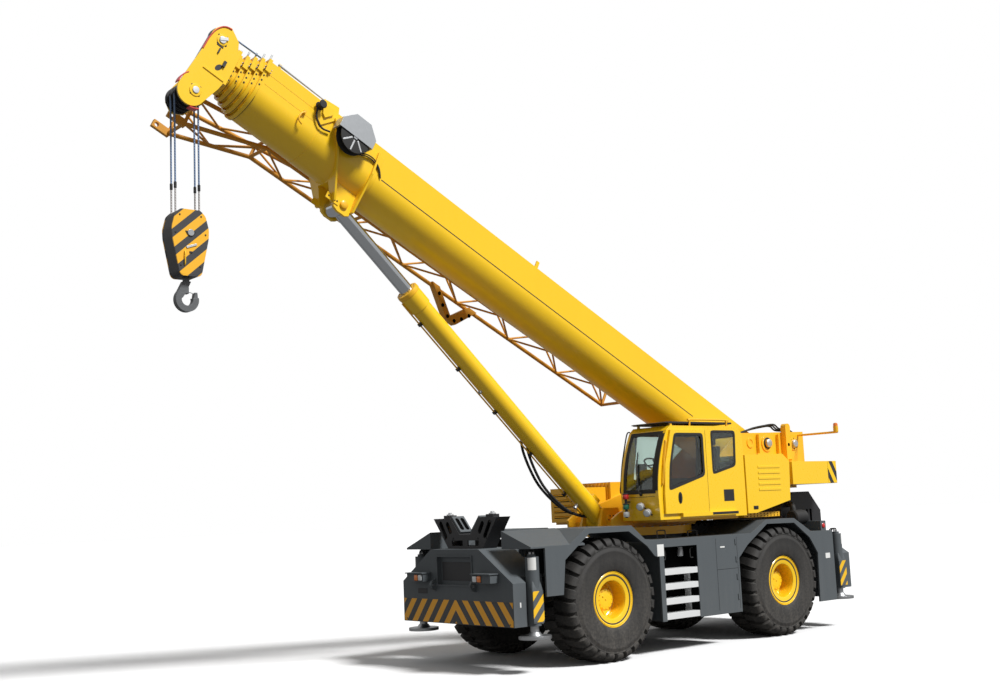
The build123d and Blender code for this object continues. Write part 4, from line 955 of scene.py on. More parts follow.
@dataclass
class BoxTrim(Trim):
    """What is fixed to an outrigger box: hazard plate, panel frame, blank plates and bolts."""

    label: str = "front"
    face: float = 3.86
    half_width: float = 1.31
    plate_z: tuple[float, float] = (0.668, 1.008)
    panel: tuple[float, float, float] = (0.41, 1.23, 1.64)
    frame_bar: float = 0.022
    frame_rise: float = 0.014

    def place(self) -> Matrix:
        """The front box's places, turned round and moved back for the rear."""
        base = self.shop.layout.base()
        return base if self.label == "front" else base @ TO_REAR

    def panel_frame(self) -> Shell:
        """Four narrow bars round the recess."""
        half, low, high = self.panel
        near, far = self.face - 0.004, self.face + self.frame_rise
        wide = half + self.frame_bar
        bars = [box((near, -wide, z), (far, wide, z + self.frame_bar)) for z in (low - self.frame_bar, high)]
        bars += [box((near, side * half, low), (far, side * wide, high)) for side in SIDES]
        return joined(bars)

    def parts(self) -> Parts:
        """The box's plates, frame and bolts."""
        x, wide, (z0, z1) = self.face, self.half_width, self.plate_z
        half, low, high = self.panel
        yield f"{self.label}_hazard_plate", "front hazard bands", [
            box((x + 0.0003, -wide, z0), (x + 0.003, wide, z1))]
        yield f"{self.label}_panel_frame", "slate enamel", [self.panel_frame()]
        yield f"{self.label}_blank_plate", "black enamel", [
            box((x - 0.059, -half + 0.05, low + 0.06), (x - 0.052, half - 0.05, high - 0.08)),
            box((x + 0.0003, -0.93, 1.09), (x + 0.005, -0.70, 1.165))]
        places = [(x + 0.002, y, z) for y in (-1.24, -0.62, 0.62, 1.24) for z in (0.70, 0.975)]
        bar_x, bar_y = x + self.frame_rise, half + self.frame_bar / 2
        places += [(bar_x, side * bar_y, z) for side in SIDES for z in (low + 0.05, high - 0.05)]
        yield f"{self.label}_box_bolts", "slate enamel", [bolts(places, (1, 0, 0), 0.011)]
        yield f"{self.label}_side_marks", "white plate", paired(((3.72, 3.745), (1.326, 1.329), (0.93, 1.00)))


@dataclass
class FrontLamps(Trim):
    """The lenses in the front lamp boxes, with their dark bezels."""

    face: float = 4.01
    z: tuple[float, float] = (1.292, 1.378)
    width: float = 0.085
    bezel: float = 0.006
    lenses: tuple[tuple[str, float], ...] = (("clear", 0.665), ("amber", 0.765))

    def lens(self, y: float) -> Shell:
        """A cushion-shaped lens, from a rounded outline drawn in towards its middle as it rises."""
        half, tall = self.width / 2, (self.z[1] - self.z[0]) / 2
        across, up = rounded_outline([(-half, -tall), (half, -tall), (half, tall), (-half, tall)], 0.016).T
        rise, share = np.array([(0.0, 1.0), (0.010, 1.0), (0.016, 0.90), (0.019, 0.66)]).T[..., None]
        places = np.broadcast_arrays(self.face + rise, y + share * across, sum(self.z) / 2 + share * up)
        return grid(np.stack(places, axis=-1), caps=True).outward()

    def parts(self) -> Parts:
        """Bezels, clear and amber lenses."""
        reach = self.width / 2 + self.bezel
        low, high = self.z[0] - self.bezel, self.z[1] + self.bezel
        yield "lamp_bezels", "black enamel", [
            box((self.face - 0.001, side * y - reach, low), (self.face + self.bezel, side * y + reach, high))
            for side in SIDES for _, y in self.lenses]
        for colour, y in self.lenses:
            yield f"lamp_lenses_{colour}", f"lens {colour}", [self.lens(side * y) for side in SIDES]


@dataclass
class RestTrim(Trim):
    """The boom rest's dressings: a slotted grey slab on each inner slope, pads and bolts on its arms."""

    x: tuple[float, float] = (3.395, 3.625)
    low: tuple[float, float] = (0.140, 1.975)
    high: tuple[float, float] = (0.352, 2.211)
    thick: float = 0.035
    slot_radius: float = 0.034

    def slab(self, side: int) -> Shell:
        """A slab on an arm's inner slope."""
        a, b, _, out = self.slope()
        outline = np.array([a, b, b + out * self.thick, a + out * self.thick]) * (side, 1)
        return prism(outline, *self.x, "x")

    def slope(self) -> tuple[Array, Array, Array, Array]:
        """The slope's lower and upper end, its direction and its normal, as (y, z) on the left."""
        a, b = np.array(self.low), np.array(self.high)
        run = (b - a) / np.linalg.norm(b - a)
        return a, b, run, np.array((-run[1], run[0]))

    def slots(self, side: int) -> Shell:
        """Two dark flat patches painted as the shade inside long holes in a slab's upper face: half circles
        round the ends of a line up the slope.
        """
        a, b, run, out = self.slope()
        turn = np.linspace(0, math.pi, 9)
        across = np.concatenate([-np.cos(turn), np.cos(turn)]) * self.slot_radius
        reach = np.concatenate([np.sin(turn), -np.sin(turn)]) * self.slot_radius
        middle, half = (a + b) / 2 + out * (self.thick + 0.0005), (b - a) * 0.27
        y, z = (np.repeat([middle + half, middle - half], len(turn), axis=0) + reach[:, None] * run).T
        lift = np.array((0, out[0] * side, out[1])) * 0.0012
        rims = [np.stack([x + across, y * side, z], axis=-1) for x in (self.x[0] + 0.065, self.x[1] - 0.065)]
        return joined([grid(np.stack([rim, rim + lift]), caps=True).outward() for rim in rims])

    def parts(self) -> Parts:
        """Slabs, the painted shade of their holes, pads and bolts."""
        yield "rest_slabs", "slate enamel", [self.slab(side) for side in SIDES]
        yield "rest_slots", "deep shadow", [self.slots(side) for side in SIDES]
        pad = [(0.055, 2.251), (0.055, 2.266), (0.030, 2.270), (0.030, 2.287), (0.018, 2.292)]
        middle = sum(self.x) / 2
        yield "rest_pads", "zinc steel", [lathe(pad, (middle, side * 0.515, 0), UP) for side in SIDES]
        spots = ((0.30, 1.90), (0.50, 1.90), (0.62, 2.14))
        yield "rest_bolts", "black enamel", [
            bolts([(self.x[1] + 0.016, side * y, z) for side in SIDES for y, z in spots], (1, 0, 0), 0.014)]


@dataclass
class CarrierTrim(Trim):
    """Small fittings of the bodywork, step recesses, valve bank, tail lamps, shafts and air cleaner."""

    skirt: float = 1.5
    deck_y: float = 1.2
    valve_y: tuple[float, ...] = (-0.42, -0.28, -0.14, 0.0, 0.14, 0.28, 0.42)
    steering_x: float = 2.3375
    tail_lamp_z: float = 1.785

    @staticmethod
    def handle(x: tuple[float, float], y: float, z: tuple[float, float]) -> Shell:
        """A U-shaped wire handle standing on a deck, with its corners cut by 20 mm."""
        (x0, x1), (z0, z1) = x, z
        return cord([(x0, y, z0), (x0, y, z1 - 0.02), (x0 + 0.02, y, z1), (x1 - 0.02, y, z1),
                     (x1, y, z1 - 0.02), (x1, y, z0)], 0.009, 4)

    def parts(self) -> Parts:
        """Everything on the carrier but the boxes' and the rest's fittings."""
        yield from self.skirt_parts()
        yield from self.recess_parts()
        yield "valve_bank", "black enamel", [
            box((-1.98, -0.52, 1.66), (-1.46, 0.52, 1.88)),
            *(box((-1.90, y - 0.045, 1.88), (-1.54, y + 0.045, 1.925)) for y in self.valve_y)]
        yield "valve_hoses", "black rubber", [
            cord([(-1.60, y, 1.86), (-1.66, y, 1.925), (-1.78, y, 1.95), (-1.92, y, 1.93),
                  (-2.05, y + 0.02, 1.84)], 0.022, sides=10) for y in self.valve_y]
        for colour, y in (("red", 1.10), ("amber", 1.22), ("clear", 1.31)):
            yield f"tail_lenses_{colour}", f"lens {colour}", self.tail_lenses(y, colour == "red")
        yield "drive_shafts", "black enamel", self.drive()
        for name, finish, half, radius in (("steering_rods", "machined steel", 0.55, 0.022),
                                           ("steering_cylinders", "black enamel", 0.30, 0.045)):
            yield name, finish, [rod((x, -half, 0.93), (x, half, 0.93), radius)
                                 for x in (self.steering_x, -self.steering_x)]
        yield "air_cleaner", "black rubber", self.air_cleaner()

    def skirt_parts(self) -> Parts:
        """Blank plates, deck handles, and the lockers' seams and hinges."""
        plate, seam, hinge = ((self.skirt, self.skirt + rise) for rise in (0.003, 0.0015, 0.012))
        yield "carrier_blank_plates", "white plate", paired(
            ((0.925, 1.075), plate, (1.49, 1.67)), ((-0.51, -0.40), plate, (1.545, 1.568)),
            ((-3.33, -3.20), plate, (1.22, 1.31)))
        handles = (((0.55, 0.735), (1.742, 1.872)), ((-0.20, 0.02), (1.742, 1.838)))
        yield "deck_handles", "black enamel", [
            self.handle(x, side * self.deck_y, z) for side in SIDES for x, z in handles]
        yield "door_seams", "black enamel", paired(
            ((-0.82, -0.814), seam, (0.56, 1.70)), ((-0.30, -0.294), seam, (0.56, 1.70)),
            ((-0.82, -0.30), seam, (1.20, 1.206)))
        yield "door_hinges", "slate enamel", paired(
            *(((-0.80, -0.77), hinge, (z, z + 0.09)) for z in (0.70, 1.02, 1.30, 1.58)))

    def recess_parts(self) -> Parts:
        """The step recesses' filters, thin near-black sheets on back, jambs and head that are painted shade,
        and handles.
        """
        profile = [(0.030, 0.0), (0.046, 0.008), (0.048, 0.10), (0.042, 0.11), (0.040, 0.145), (0.025, 0.15)]
        yield "recess_filters", "zinc steel", [
            lathe(profile, (0.335, side * 1.30, 1.455), UP) for side in SIDES]
        (x0, x1), (back, mouth), (low, high) = (0.1630, 0.9320), (1.2105, 1.488), (0.515, 1.6215)
        thin = 0.002
        yield "recess_linings", "deep shadow", paired(
            ((x0, x1), (back, back + thin), (low, high)), ((x0, x0 + thin), (back, mouth), (low, high)),
            ((x1 - thin, x1), (back, mouth), (low, high)), ((x0, x1), (back, mouth), (high - thin, high)))
        yield "recess_handles", "black rubber", [
            cord([(x, side * 1.44, 1.43), (x + step, side * 1.44, 1.44), (x + step, side * 1.44, 1.57),
                  (x, side * 1.44, 1.58)], 0.008, 4)
            for side in SIDES for x, step in ((0.195, 0.06), (0.90, -0.06))]

    def tail_lenses(self, y: float, at_sides: bool) -> Sequence[Shell]:
        """Round lenses on the rear faces of the tail lamp boxes, and on their sides too where asked."""
        dome = [(0.042, 0.0), (0.042, 0.010), (0.034, 0.018), (0.014, 0.022)]
        spots = [((-3.44, side * y, self.tail_lamp_z), (-1, 0, 0)) for side in SIDES]
        if at_sides:
            spots += [((-3.365, side * 1.38, self.tail_lamp_z), (0, side, 0)) for side in SIDES]
        return [lathe(dome, place, way, 20) for place, way in spots]

    @staticmethod
    def drive() -> Sequence[Shell]:
        """The shafts from the transfer case to both axles, with flanges."""
        shells = []
        for sign in SIDES:
            outer, inner = Vector((sign * 1.78, 0, 0.915)), Vector((sign * 0.42, 0, 0.86))
            shells.append(rod(outer, inner, 0.045))
            step = (inner - outer).normalized() * 0.05
            shells += [rod(outer, outer + step, 0.085), rod(inner, inner - step, 0.085)]
        return [*shells, box((-0.42, -0.26, 0.74), (0.42, 0.26, 0.949))]

    @staticmethod
    def air_cleaner() -> Sequence[Shell]:
        """The air cleaner on the tail deck, a ribbed drum with its elbow."""
        ribs = [(0.128 + 0.006 * (i % 2), 0.03 + 0.02 * i) for i in range(14)]
        profile = [(0.02, 0.0), (0.10, 0.0), (0.128, 0.02), *ribs, (0.128, 0.33), (0.10, 0.35), (0.02, 0.35)]
        elbow = [(-3.05, 1.0, 2.05), (-3.06, 0.98, 2.13), (-3.10, 0.92, 2.18), (-3.14, 0.80, 2.18)]
        return [lathe(profile, (-2.98, 1.00, 1.95), (-1, 0, 0), 28), cord(elbow, 0.05, sides=16)]


@dataclass
class JackTrim(Trim):
    """The sleeve, stripes, blank plate and hoses of one jack tube."""

    end: str = "front"
    side: Side = Side.LEFT
    x: float = 3.49
    y: float = 1.33
    half: float = 0.104
    tube_radius: float = 0.101
    elbow_dx: tuple[float, float] = (-0.03, 0.03)

    def place(self) -> Matrix:
        """The front left jack's places, mirrored to the right and turned round for the rear."""
        matrix = self.shop.layout.base()
        if self.end == "rear":
            matrix = matrix @ TO_REAR
        return matrix @ Matrix.Scale(self.side.value, 4, Vector((0, 1, 0)))

    def parts(self) -> Parts:
        """The sleeve round the lower tube, its bands, the blank plate and the hose elbows on the cap."""
        x, y, h = self.x, self.y, self.half
        tag = f"{self.end}_{self.side.name.lower()}"
        yield f"jack_sleeve_{tag}", "slate enamel", [self.sleeve()]
        yield f"jack_bands_{tag}", "jack hazard bands", [
            box((x - h + 0.004, y + h, 0.715), (x + h - 0.004, y + h + 0.003, 1.145))]
        yield f"jack_plate_{tag}", "white plate", [self.wrapped_plate()]
        yield f"jack_elbows_{tag}", "zinc steel", [
            rod((x + dx, y, 1.655), (x + dx, y, 1.69), 0.018) for dx in self.elbow_dx]
        yield f"jack_hoses_{tag}", "black rubber", [
            cord([(x + dx, y, 1.685), (x + dx, y - 0.02, 1.715), (x + dx, y - 0.09, 1.70),
                  (x + dx, y - 0.12, 1.60)], 0.012) for dx in self.elbow_dx]

    def sleeve(self) -> Shell:
        """A rounded square that blends into the round tube, each of its points at its own angle."""
        x, y, h = self.x, self.y, self.half
        corners = [(x - h, y - 0.04), (x + h, y - 0.04), (x + h, y + h), (x - h, y + h)]
        square = rounded_outline(corners, 0.02)
        turn = np.arctan2(square[:, 1] - y, square[:, 0] - x)
        circle = np.stack([x + self.tube_radius * np.cos(turn), y + self.tube_radius * np.sin(turn)], axis=-1)
        levels = ((square, 0.70), (square, 1.15), (0.5 * square + 0.5 * circle, 1.22), (circle, 1.28))
        return grid(np.stack([np.insert(loop, 2, z, axis=1) for loop, z in levels]), caps=True).outward()

    def wrapped_plate(self, radius: float = 0.1005, start: float = 12, end: float = 84) -> Shell:
        """A blank plate bent round the jack tube's outer front, from two arcs carried between two heights."""
        outer = arc((self.x, self.y), radius + 0.002, start, end, 9)
        inner = arc((self.x, self.y), radius, end, start, 9)
        return prism(np.concatenate([outer, inner]), 1.44, 1.615, "z")


@dataclass
class CabTrim(Trim):
    """The cab's dark frames, wiper, grab bar, handle, roof visor, rail, lamps and inside fittings."""

    body: str = "turntable"
    skin_y: float = 1.432
    front_x: float = 0.895
    seat_y: float = 1.026
    pane: tuple[float, float, float, float] = (0.69, 1.362, 2.47, 3.425)
    lamp_places: tuple[tuple[float, float, float], ...] = ((0.985, 1.13, 2.27), (0.985, 1.27, 2.17))
    lamp_way: tuple[float, float, float] = (0.88, 0.40, -0.25)

    @staticmethod
    def nose(z: Array | float) -> Array | float:
        """How far forward the windscreen is at a height: the parabola through the cab's three nose points."""
        (a, xa), (b, xb), (c, xc) = (2.42, 0.90), (2.91, 0.84), (3.45, 0.63)
        return (xa * (z - b) * (z - c) / ((a - b) * (a - c)) + xb * (z - a) * (z - c) / ((b - a) * (b - c))
                + xc * (z - a) * (z - b) / ((c - a) * (c - b)))

    def on_nose(self, places: Sequence[Point], out: float) -> Array:
        """Points in front of the windscreen, from (y, z) pairs and a distance."""
        y, z = np.array(places, float).T
        return np.stack([self.nose(z) + out, y, z], axis=-1)

    def gasket(self, outline: Sequence[Point], y: float, side: int = 1, width: float = 0.030,
               lift: float = 0.0025, radius: float = 0.075) -> Shell:
        """A dark band over the edge of a window.

        Args:
            outline: the window's sharp corners as (x, z).
            y: the face it lies on.
            side: 1 where the face looks left and -1 where it looks right.
            width: how far the band reaches into the window.
            lift: how far it stands out.
            radius: the rounding of its outer corners.

        Returns:
            A closed ring.
        """
        corners = np.asarray(outline, float)
        back = np.roll(corners, 1, axis=0) - corners
        ahead = np.roll(corners, -1, axis=0) - corners
        back /= np.linalg.norm(back, axis=1, keepdims=True)
        ahead /= np.linalg.norm(ahead, axis=1, keepdims=True)
        sine = np.abs(back[:, 0] * ahead[:, 1] - back[:, 1] * ahead[:, 0])[:, None]
        inwards = (back + ahead) / sine
        outer = rounded_outline(corners - inwards * 0.012, radius)
        inner = rounded_outline(corners + inwards * width, radius * 0.7)
        rows = [np.insert(loop, 1, y + side * out, axis=1) for loop, out in
                ((outer, 0.0003), (outer, lift), (inner, lift), (inner, -0.006))]
        return grid(np.stack(rows, axis=1), closed_along=True).outward()

    def screen_frame(self, width: float = 0.05) -> Shell:
        """The windscreen's dark border, from four loops of the pane's outline along the curved nose."""
        y0, y1, z0, z1 = self.pane

        def loop(inset: float, out: float) -> Array:
            """The pane's outline, drawn in and moved forward."""
            up = np.linspace(z0 + inset, z1 - inset, 14)
            across = np.linspace(y0 + inset, y1 - inset, 6)[1:-1]
            points = [(y1 - inset, z) for z in up] + [(y, z1 - inset) for y in across[::-1]]
            points += [(y0 + inset, z) for z in up[::-1]] + [(y, z0 + inset) for y in across]
            return self.on_nose(points, out)

        rows = [loop(-0.012, 0.0005), loop(-0.012, 0.008), loop(width, 0.008), loop(width, -0.008)]
        return grid(np.stack(rows, axis=1), closed_along=True).outward()

    def parts(self) -> Parts:
        """Everything on the cab but the door."""
        yield from self.frames()
        yield from self.bars()
        yield from self.work_lamps()
        yield from self.signal()
        yield from self.inside()

    def frames(self) -> Parts:
        """Gaskets, the windscreen's frame, the pillar strip and the roof visor."""
        quarter = [(-0.43, 3.44), (-1.03, 3.44), (-1.0, 2.87), (-0.43, 2.74)]
        right = [(0.48, 3.43), (-1.0, 3.43), (-1.0, 2.66), (0.64, 2.66)]
        yield "window_gaskets", "black rubber", [
            self.gasket(quarter, self.skin_y), self.gasket(right, 0.62, -1)]
        yield "windscreen_frame", "black rubber", [self.screen_frame()]
        strip = ((0.0006, 1.375), (0.007, 1.378), (0.007, 1.418), (0.0006, 1.421))
        rows = [self.on_nose([(y, z) for z in np.linspace(2.50, 3.40, 10)], out) for out, y in strip]
        yield "pillar_strip", "black rubber", [grid(np.stack(rows, axis=1), caps=True).outward()]
        lip = np.array([(0.56, 3.588), (0.625, 3.576), (0.625, 3.568), (0.56, 3.562)])
        yield "roof_visor", "black enamel", [
            box((-1.003, 0.646, 3.558), (0.565, 1.406, 3.588)), prism(lip, 0.66, 1.40)]

    def bars(self) -> Parts:
        """The roof rail, the wiper, the grab bar, the pillar handle and flat marks."""
        rail = [(0.05, 1.405, 3.50), (0.05, 1.412, 3.60), (0.03, 1.412, 3.622), (-0.84, 1.412, 3.622),
                (-0.86, 1.412, 3.60), (-0.86, 1.405, 3.50)]
        yield "roof_rail", "frame enamel", [cord(rail, 0.017, sides=10)]
        arm = self.on_nose([(1.060, 2.455), (1.035, 2.52), (0.985, 2.78), (0.955, 3.00)], 0.030)
        blade = self.on_nose([(1.000, 2.62), (0.968, 2.86), (0.938, 3.12)], 0.016)
        boss = lathe([(0.03, 0.0), (0.03, 0.02), (0.012, 0.035)], (0.897, 1.062, 2.452), (1, 0, 0.2), 16)
        yield "wiper", "black enamel", [cord(arm, 0.008), cord(blade, 0.010, sides=6), boss]
        grab = [(0.60, 0.60, 3.47), (0.645, 0.575, 3.44), (0.72, 0.57, 3.20), (0.795, 0.57, 2.925),
                (0.84, 0.57, 2.65), (0.863, 0.57, 2.507), (0.85, 0.605, 2.45)]
        stay = rod((0.795, 0.57, 2.925), (0.77, 0.625, 2.93), 0.009, 8)
        yield "grab_bar", "black enamel", [cord(grab, 0.011, 6, 10), stay]
        y = self.skin_y
        handle = [(0.68, y, 3.28), (0.692, 1.462, 3.25), (0.76, 1.464, 2.94), (0.805, 1.462, 2.62),
                  (0.81, y, 2.59)]
        yield "pillar_handle", "frame enamel", [cord(handle, 0.012, 6, 10)]
        yield "cab_marks", "black enamel", [box((-0.92, y, 2.29), (-0.665, y + 0.0025, 2.48)),
                                            box((-0.94, y + 0.0541, 2.082), (-0.30, y + 0.0566, 2.122))]
        yield "cab_seam", "black enamel", [box((0.9002, 0.70, 2.405), (0.9017, 1.352, 2.411))]

    def work_lamps(self) -> Parts:
        """The two work lamps below the windscreen: cups that widen to their rims, lenses and stays."""
        way = np.array(self.lamp_way)
        cup = [(0.018, -0.055), (0.036, -0.045), (0.052, -0.01), (0.060, 0.045), (0.062, 0.060),
               (0.055, 0.064), (0.05, 0.05)]
        lens = [(0.052, 0.0), (0.048, 0.012), (0.02, 0.02)]
        yield "work_lamp_cups", "zinc steel", [lathe(cup, place, way) for place in self.lamp_places]
        yield "work_lamp_lenses", "lens clear", [
            lathe(lens, place + way * 0.062, way, 20) for place in self.lamp_places]
        yield "work_lamp_stays", "black enamel", [
            rod((self.front_x, y, z - 0.05), (x, y, z) - way * 0.03, 0.012, 8)
            for x, y, z in self.lamp_places]

    def signal(self) -> Parts:
        """The load signal's stack of three coloured lamps on a bracket."""
        x, y = 0.985, 0.80
        drum = [(0.046, 0.0), (0.050, 0.006), (0.050, 0.070), (0.044, 0.080)]
        for colour, z in (("red", 2.385), ("green", 2.225), ("clear", 2.105)):
            yield f"signal_{colour}", f"lens {colour}", [lathe(drum, (x, y, z), UP)]
        yield "signal_post", "black enamel", [
            rod((x, y, 2.09), (x, y, 2.39), 0.022), rod((self.front_x, y, 2.34), (x, y, 2.34), 0.012),
            lathe([(0.052, 0), (0.052, 0.012), (0.03, 0.02)], (x, y, 2.462), UP),
            lathe([(0.054, 0), (0.054, 0.014), (0.03, 0.02)], (x, y, 2.302), UP)]

    def inside(self) -> Parts:
        """Steering wheel, levers, monitor and headrest."""
        y = self.seat_y
        hub = np.array((0.50, y, 2.92))
        wheel = ring(0.18, 0.014).moved(facing((-0.55, 0, 0.83), hub))
        spokes = [rod(hub, hub + (0.1245 * math.cos(a), 0.17 * math.sin(a), 0.0825 * math.cos(a)), 0.012, 8)
                  for a in (0.4, 2.5, 4.6)]
        column = rod((0.62, y, 2.72), (0.50, y, 2.91), 0.030)
        swell = np.linspace(0.012, 0.022, 11)
        levers = [cord([(-0.18, w, 2.68), (-0.16, w, 2.76), (-0.15, w, 2.84)], swell, sides=10)
                  for w in (y - 0.295, y + 0.295)]
        monitor = box((0.60, 0.72, 2.78), (0.64, 0.94, 2.94))
        yield "cab_controls", "console plastic", [wheel, *spokes, column, *levers, monitor]
        head = rounded_outline([(y - 0.13, 3.22), (y + 0.13, 3.22), (y + 0.13, 3.38), (y - 0.13, 3.38)], 0.04)
        yield "headrest", "seat cloth", [prism(head, -0.86, -0.77, "x")]


@dataclass
class DoorTrim(CabTrim):
    """The sliding door's gasket, handle and rear edge."""

    body: str = "cab_door"
    face_y: float = 1.474

    def parts(self) -> Parts:
        """The gasket, the oval handle on its dish, and the edge."""
        y = self.face_y
        window = [(-0.17, 3.39), (0.50, 3.39), (0.64, 2.88), (0.68, 2.50), (-0.17, 2.72)]
        yield "door_gasket", "black rubber", [self.gasket(window, y, width=0.034)]
        turn = fractions(28) * TURN
        dish = np.stack([0.445 + 0.045 * np.cos(turn), 2.372 + 0.092 * np.sin(turn)], axis=-1)
        yield "door_handle", "black rubber", [prism(dish, y + 0.0003, y + 0.006),
                                              box((0.430, y + 0.006, 2.31), (0.460, y + 0.020, 2.43))]
        yield "door_edge", "black rubber", [box((-0.2395, y + 0.0002, 2.135), (-0.2335, y + 0.0015, 3.445))]


@dataclass
class DeckTrim(Trim):
    """Fittings of the turntable: pins, rings, hoses, bands, plates, louvres, lockers, rope and bolts."""

    body: str = "turntable"
    cheek: float = 0.545
    winch: tuple[float, float] = (-3.795, 3.295)
    louvre_pitch: float = 0.092
    locker_pitch: float = 0.72

    def parts(self) -> Parts:
        """Everything on the turntable but the cab."""
        yield from self.cheek_parts()
        yield from self.deck_parts()
        yield from self.side_box_parts()
        yield from self.turned_parts()

    def cheek_parts(self) -> Parts:
        """Pins, caps, rings, bolts and ribs on the tall cheeks, and a dark disc painted as the shade in the
        left post's hole.
        """
        c, (x, z) = self.cheek, self.winch
        yield "foot_pin_rings", "black enamel", discs(
            [(0.105, 0.0), (0.105, 0.012), (0.088, 0.016), (0.088, 0.010)], -3.0, c + 0.02, 3.3)
        yield "foot_pin_caps", "zinc steel", discs(
            [(0.076, 0.0), (0.076, 0.012), (0.060, 0.024), (0.02, 0.026)], -3.0, c + 0.06, 3.3)
        yield "winch_caps", "zinc steel", discs(
            [(0.070, 0.0), (0.070, 0.050), (0.058, 0.062), (0.020, 0.064)], x, c, z)
        yield "winch_flanges", "frame enamel", discs([(0.125, 0.0), (0.125, 0.012), (0.07, 0.014)], x, c, z)
        yield "winch_bolts", "black enamel", [
            bolts(round_places((x, side * (c + 0.012), z), 0.10, 8), (0, side, 0), 0.011) for side in (1, -1)]
        yield "cheek_rings", "frame enamel", discs(
            [(0.095, 0.0), (0.095, 0.014), (0.075, 0.018), (0.055, 0.014), (0.055, 0.004)], -2.53, c, 3.31)
        ribs = ((-2.73, 3.12, 3.46), (-3.30, 3.10, 3.46), (-3.66, 2.98, 3.47))
        yield "cheek_ribs", "frame enamel", paired(
            *(((near, near + 0.018), (c, c + 0.06), (low, high)) for near, low, high in ribs))
        yield "post_hole", "deep shadow", [
            lathe([(0.032, 0.0), (0.030, 0.002)], (-3.51, c + 0.1102, 3.27), segments=20)]

    def deck_parts(self) -> Parts:
        """The hoses behind the cab, the beacon, the counterweight's bands, the catch and the plate."""
        bow = np.array([(-2.30, 0.40, 3.47), (-2.65, 0.40, 3.545), (-3.0, 0.40, 3.60), (-3.30, 0.40, 3.625),
                        (-3.46, 0.40, 3.55), (-3.80, 0.40, 3.53), (-3.98, 0.35, 3.40)])
        apart = np.array([(0, 0.05, rise) for rise in (0, 0.012, 0.012, 0.012, 0.012, 0, 0)])
        yield "deck_hoses", "black rubber", [cord(bow + k * apart, 0.016, 6, 10) for k in range(3)]
        yield "beacon", "lens amber", [
            lathe([(0.040, 0.0), (0.042, 0.03), (0.034, 0.052), (0.012, 0.06)], (-3.95, 1.39, 3.56), UP)]
        yield "counterweight_bands", "tail hazard bands", paired(
            ((-3.995, -3.74), (1.3002, 1.303), (2.535, 2.925)),
            ((-4.003, -4.0002), (1.295, 1.05), (2.535, 2.925)))
        yield "cover_catch", "black enamel", [
            box((-1.50, 1.4502, 2.135), (-1.385, 1.458, 2.19)),
            box((-1.48, 1.458, 2.15), (-1.405, 1.466, 2.175))]
        yield "perforated_plate", "frame enamel", [box((-2.25, 1.3002, 1.995), (-1.35, 1.306, 2.075))]
        # The plate's holes are dark discs of painted shade.
        holes = [(-2.19 + 0.09 * i, 1.3062, z) for i in range(10) for z in (2.015, 2.052)]
        yield "plate_holes", "deep shadow", [
            lathe([(0.013, 0.0), (0.012, 0.001)], place, segments=12) for place in holes]

    def side_box_parts(self) -> Parts:
        """The louvres, the ribbed panel and the lockers on the right."""
        lifts = [self.louvre_pitch * i for i in range(5)]
        # The gaps behind the blades are thin dark boxes of painted shade.
        yield "louvre_gaps", "deep shadow", [
            box((0.6802, -1.229, 2.111 + up), (0.684, -0.711, 2.151 + up)) for up in lifts]
        blade = np.array([(0.684, 2.150), (0.712, 2.128), (0.712, 2.124), (0.684, 2.146)])
        yield "louvre_blades", "frame enamel", [prism(blade + (0, up), -1.235, -0.705) for up in lifts]
        yield "ribbed_panel", "frame enamel", [
            box((-0.0198, -1.37 + 0.09 * i, 2.10), (-0.004, -1.325 + 0.09 * i, 2.638)) for i in range(9)]
        starts = [-2.15 + self.locker_pitch * i for i in range(3)]
        yield "locker_doors", "cab enamel", [
            box((x, -1.4028, 2.10), (x + 0.66, -1.4002, 2.62)) for x in starts]
        yield "locker_latches", "black enamel", [
            box((x + 0.57, -1.412, 2.34), (x + 0.62, -1.4028, 2.40)) for x in starts]

    @staticmethod
    def turned_parts() -> Parts:
        """The rope wound on the winch, the lift ears' bolts, and the slewing ring's guard and bolts."""
        across = np.linspace(-0.384, 0.384, 321)
        wound = np.stack([0.172 + 0.012 * np.abs(np.sin(across * math.pi / 0.024)), across], axis=-1)
        yield "wound_rope", "wire rope", [lathe(wound, (-3.81, 0, 3.285), segments=40)]
        yield "ear_bolts", "black enamel", [
            bolts(round_places((0.8, side * 0.275, 2.07), 0.07, 6), (0, side, 0), 0.012) for side in SIDES]
        guard = np.array([(0.935, 1.80), (0.950, 1.80), (0.950, 1.915), (0.935, 1.915)])
        yield "ring_guard", "frame enamel", [revolved(guard, 72).moved(Matrix.Rotation(math.pi / 2, 4, "X"))]
        places = [(0.905 * math.cos(TURN * f), 0.905 * math.sin(TURN * f), 1.93) for f in fractions(40)]
        outside = [p for p in places if abs(p[1]) > 0.56 or abs(p[0]) > 0.89]
        yield "slewing_bolts", "machined steel", [bolts(outside, UP, 0.017)]


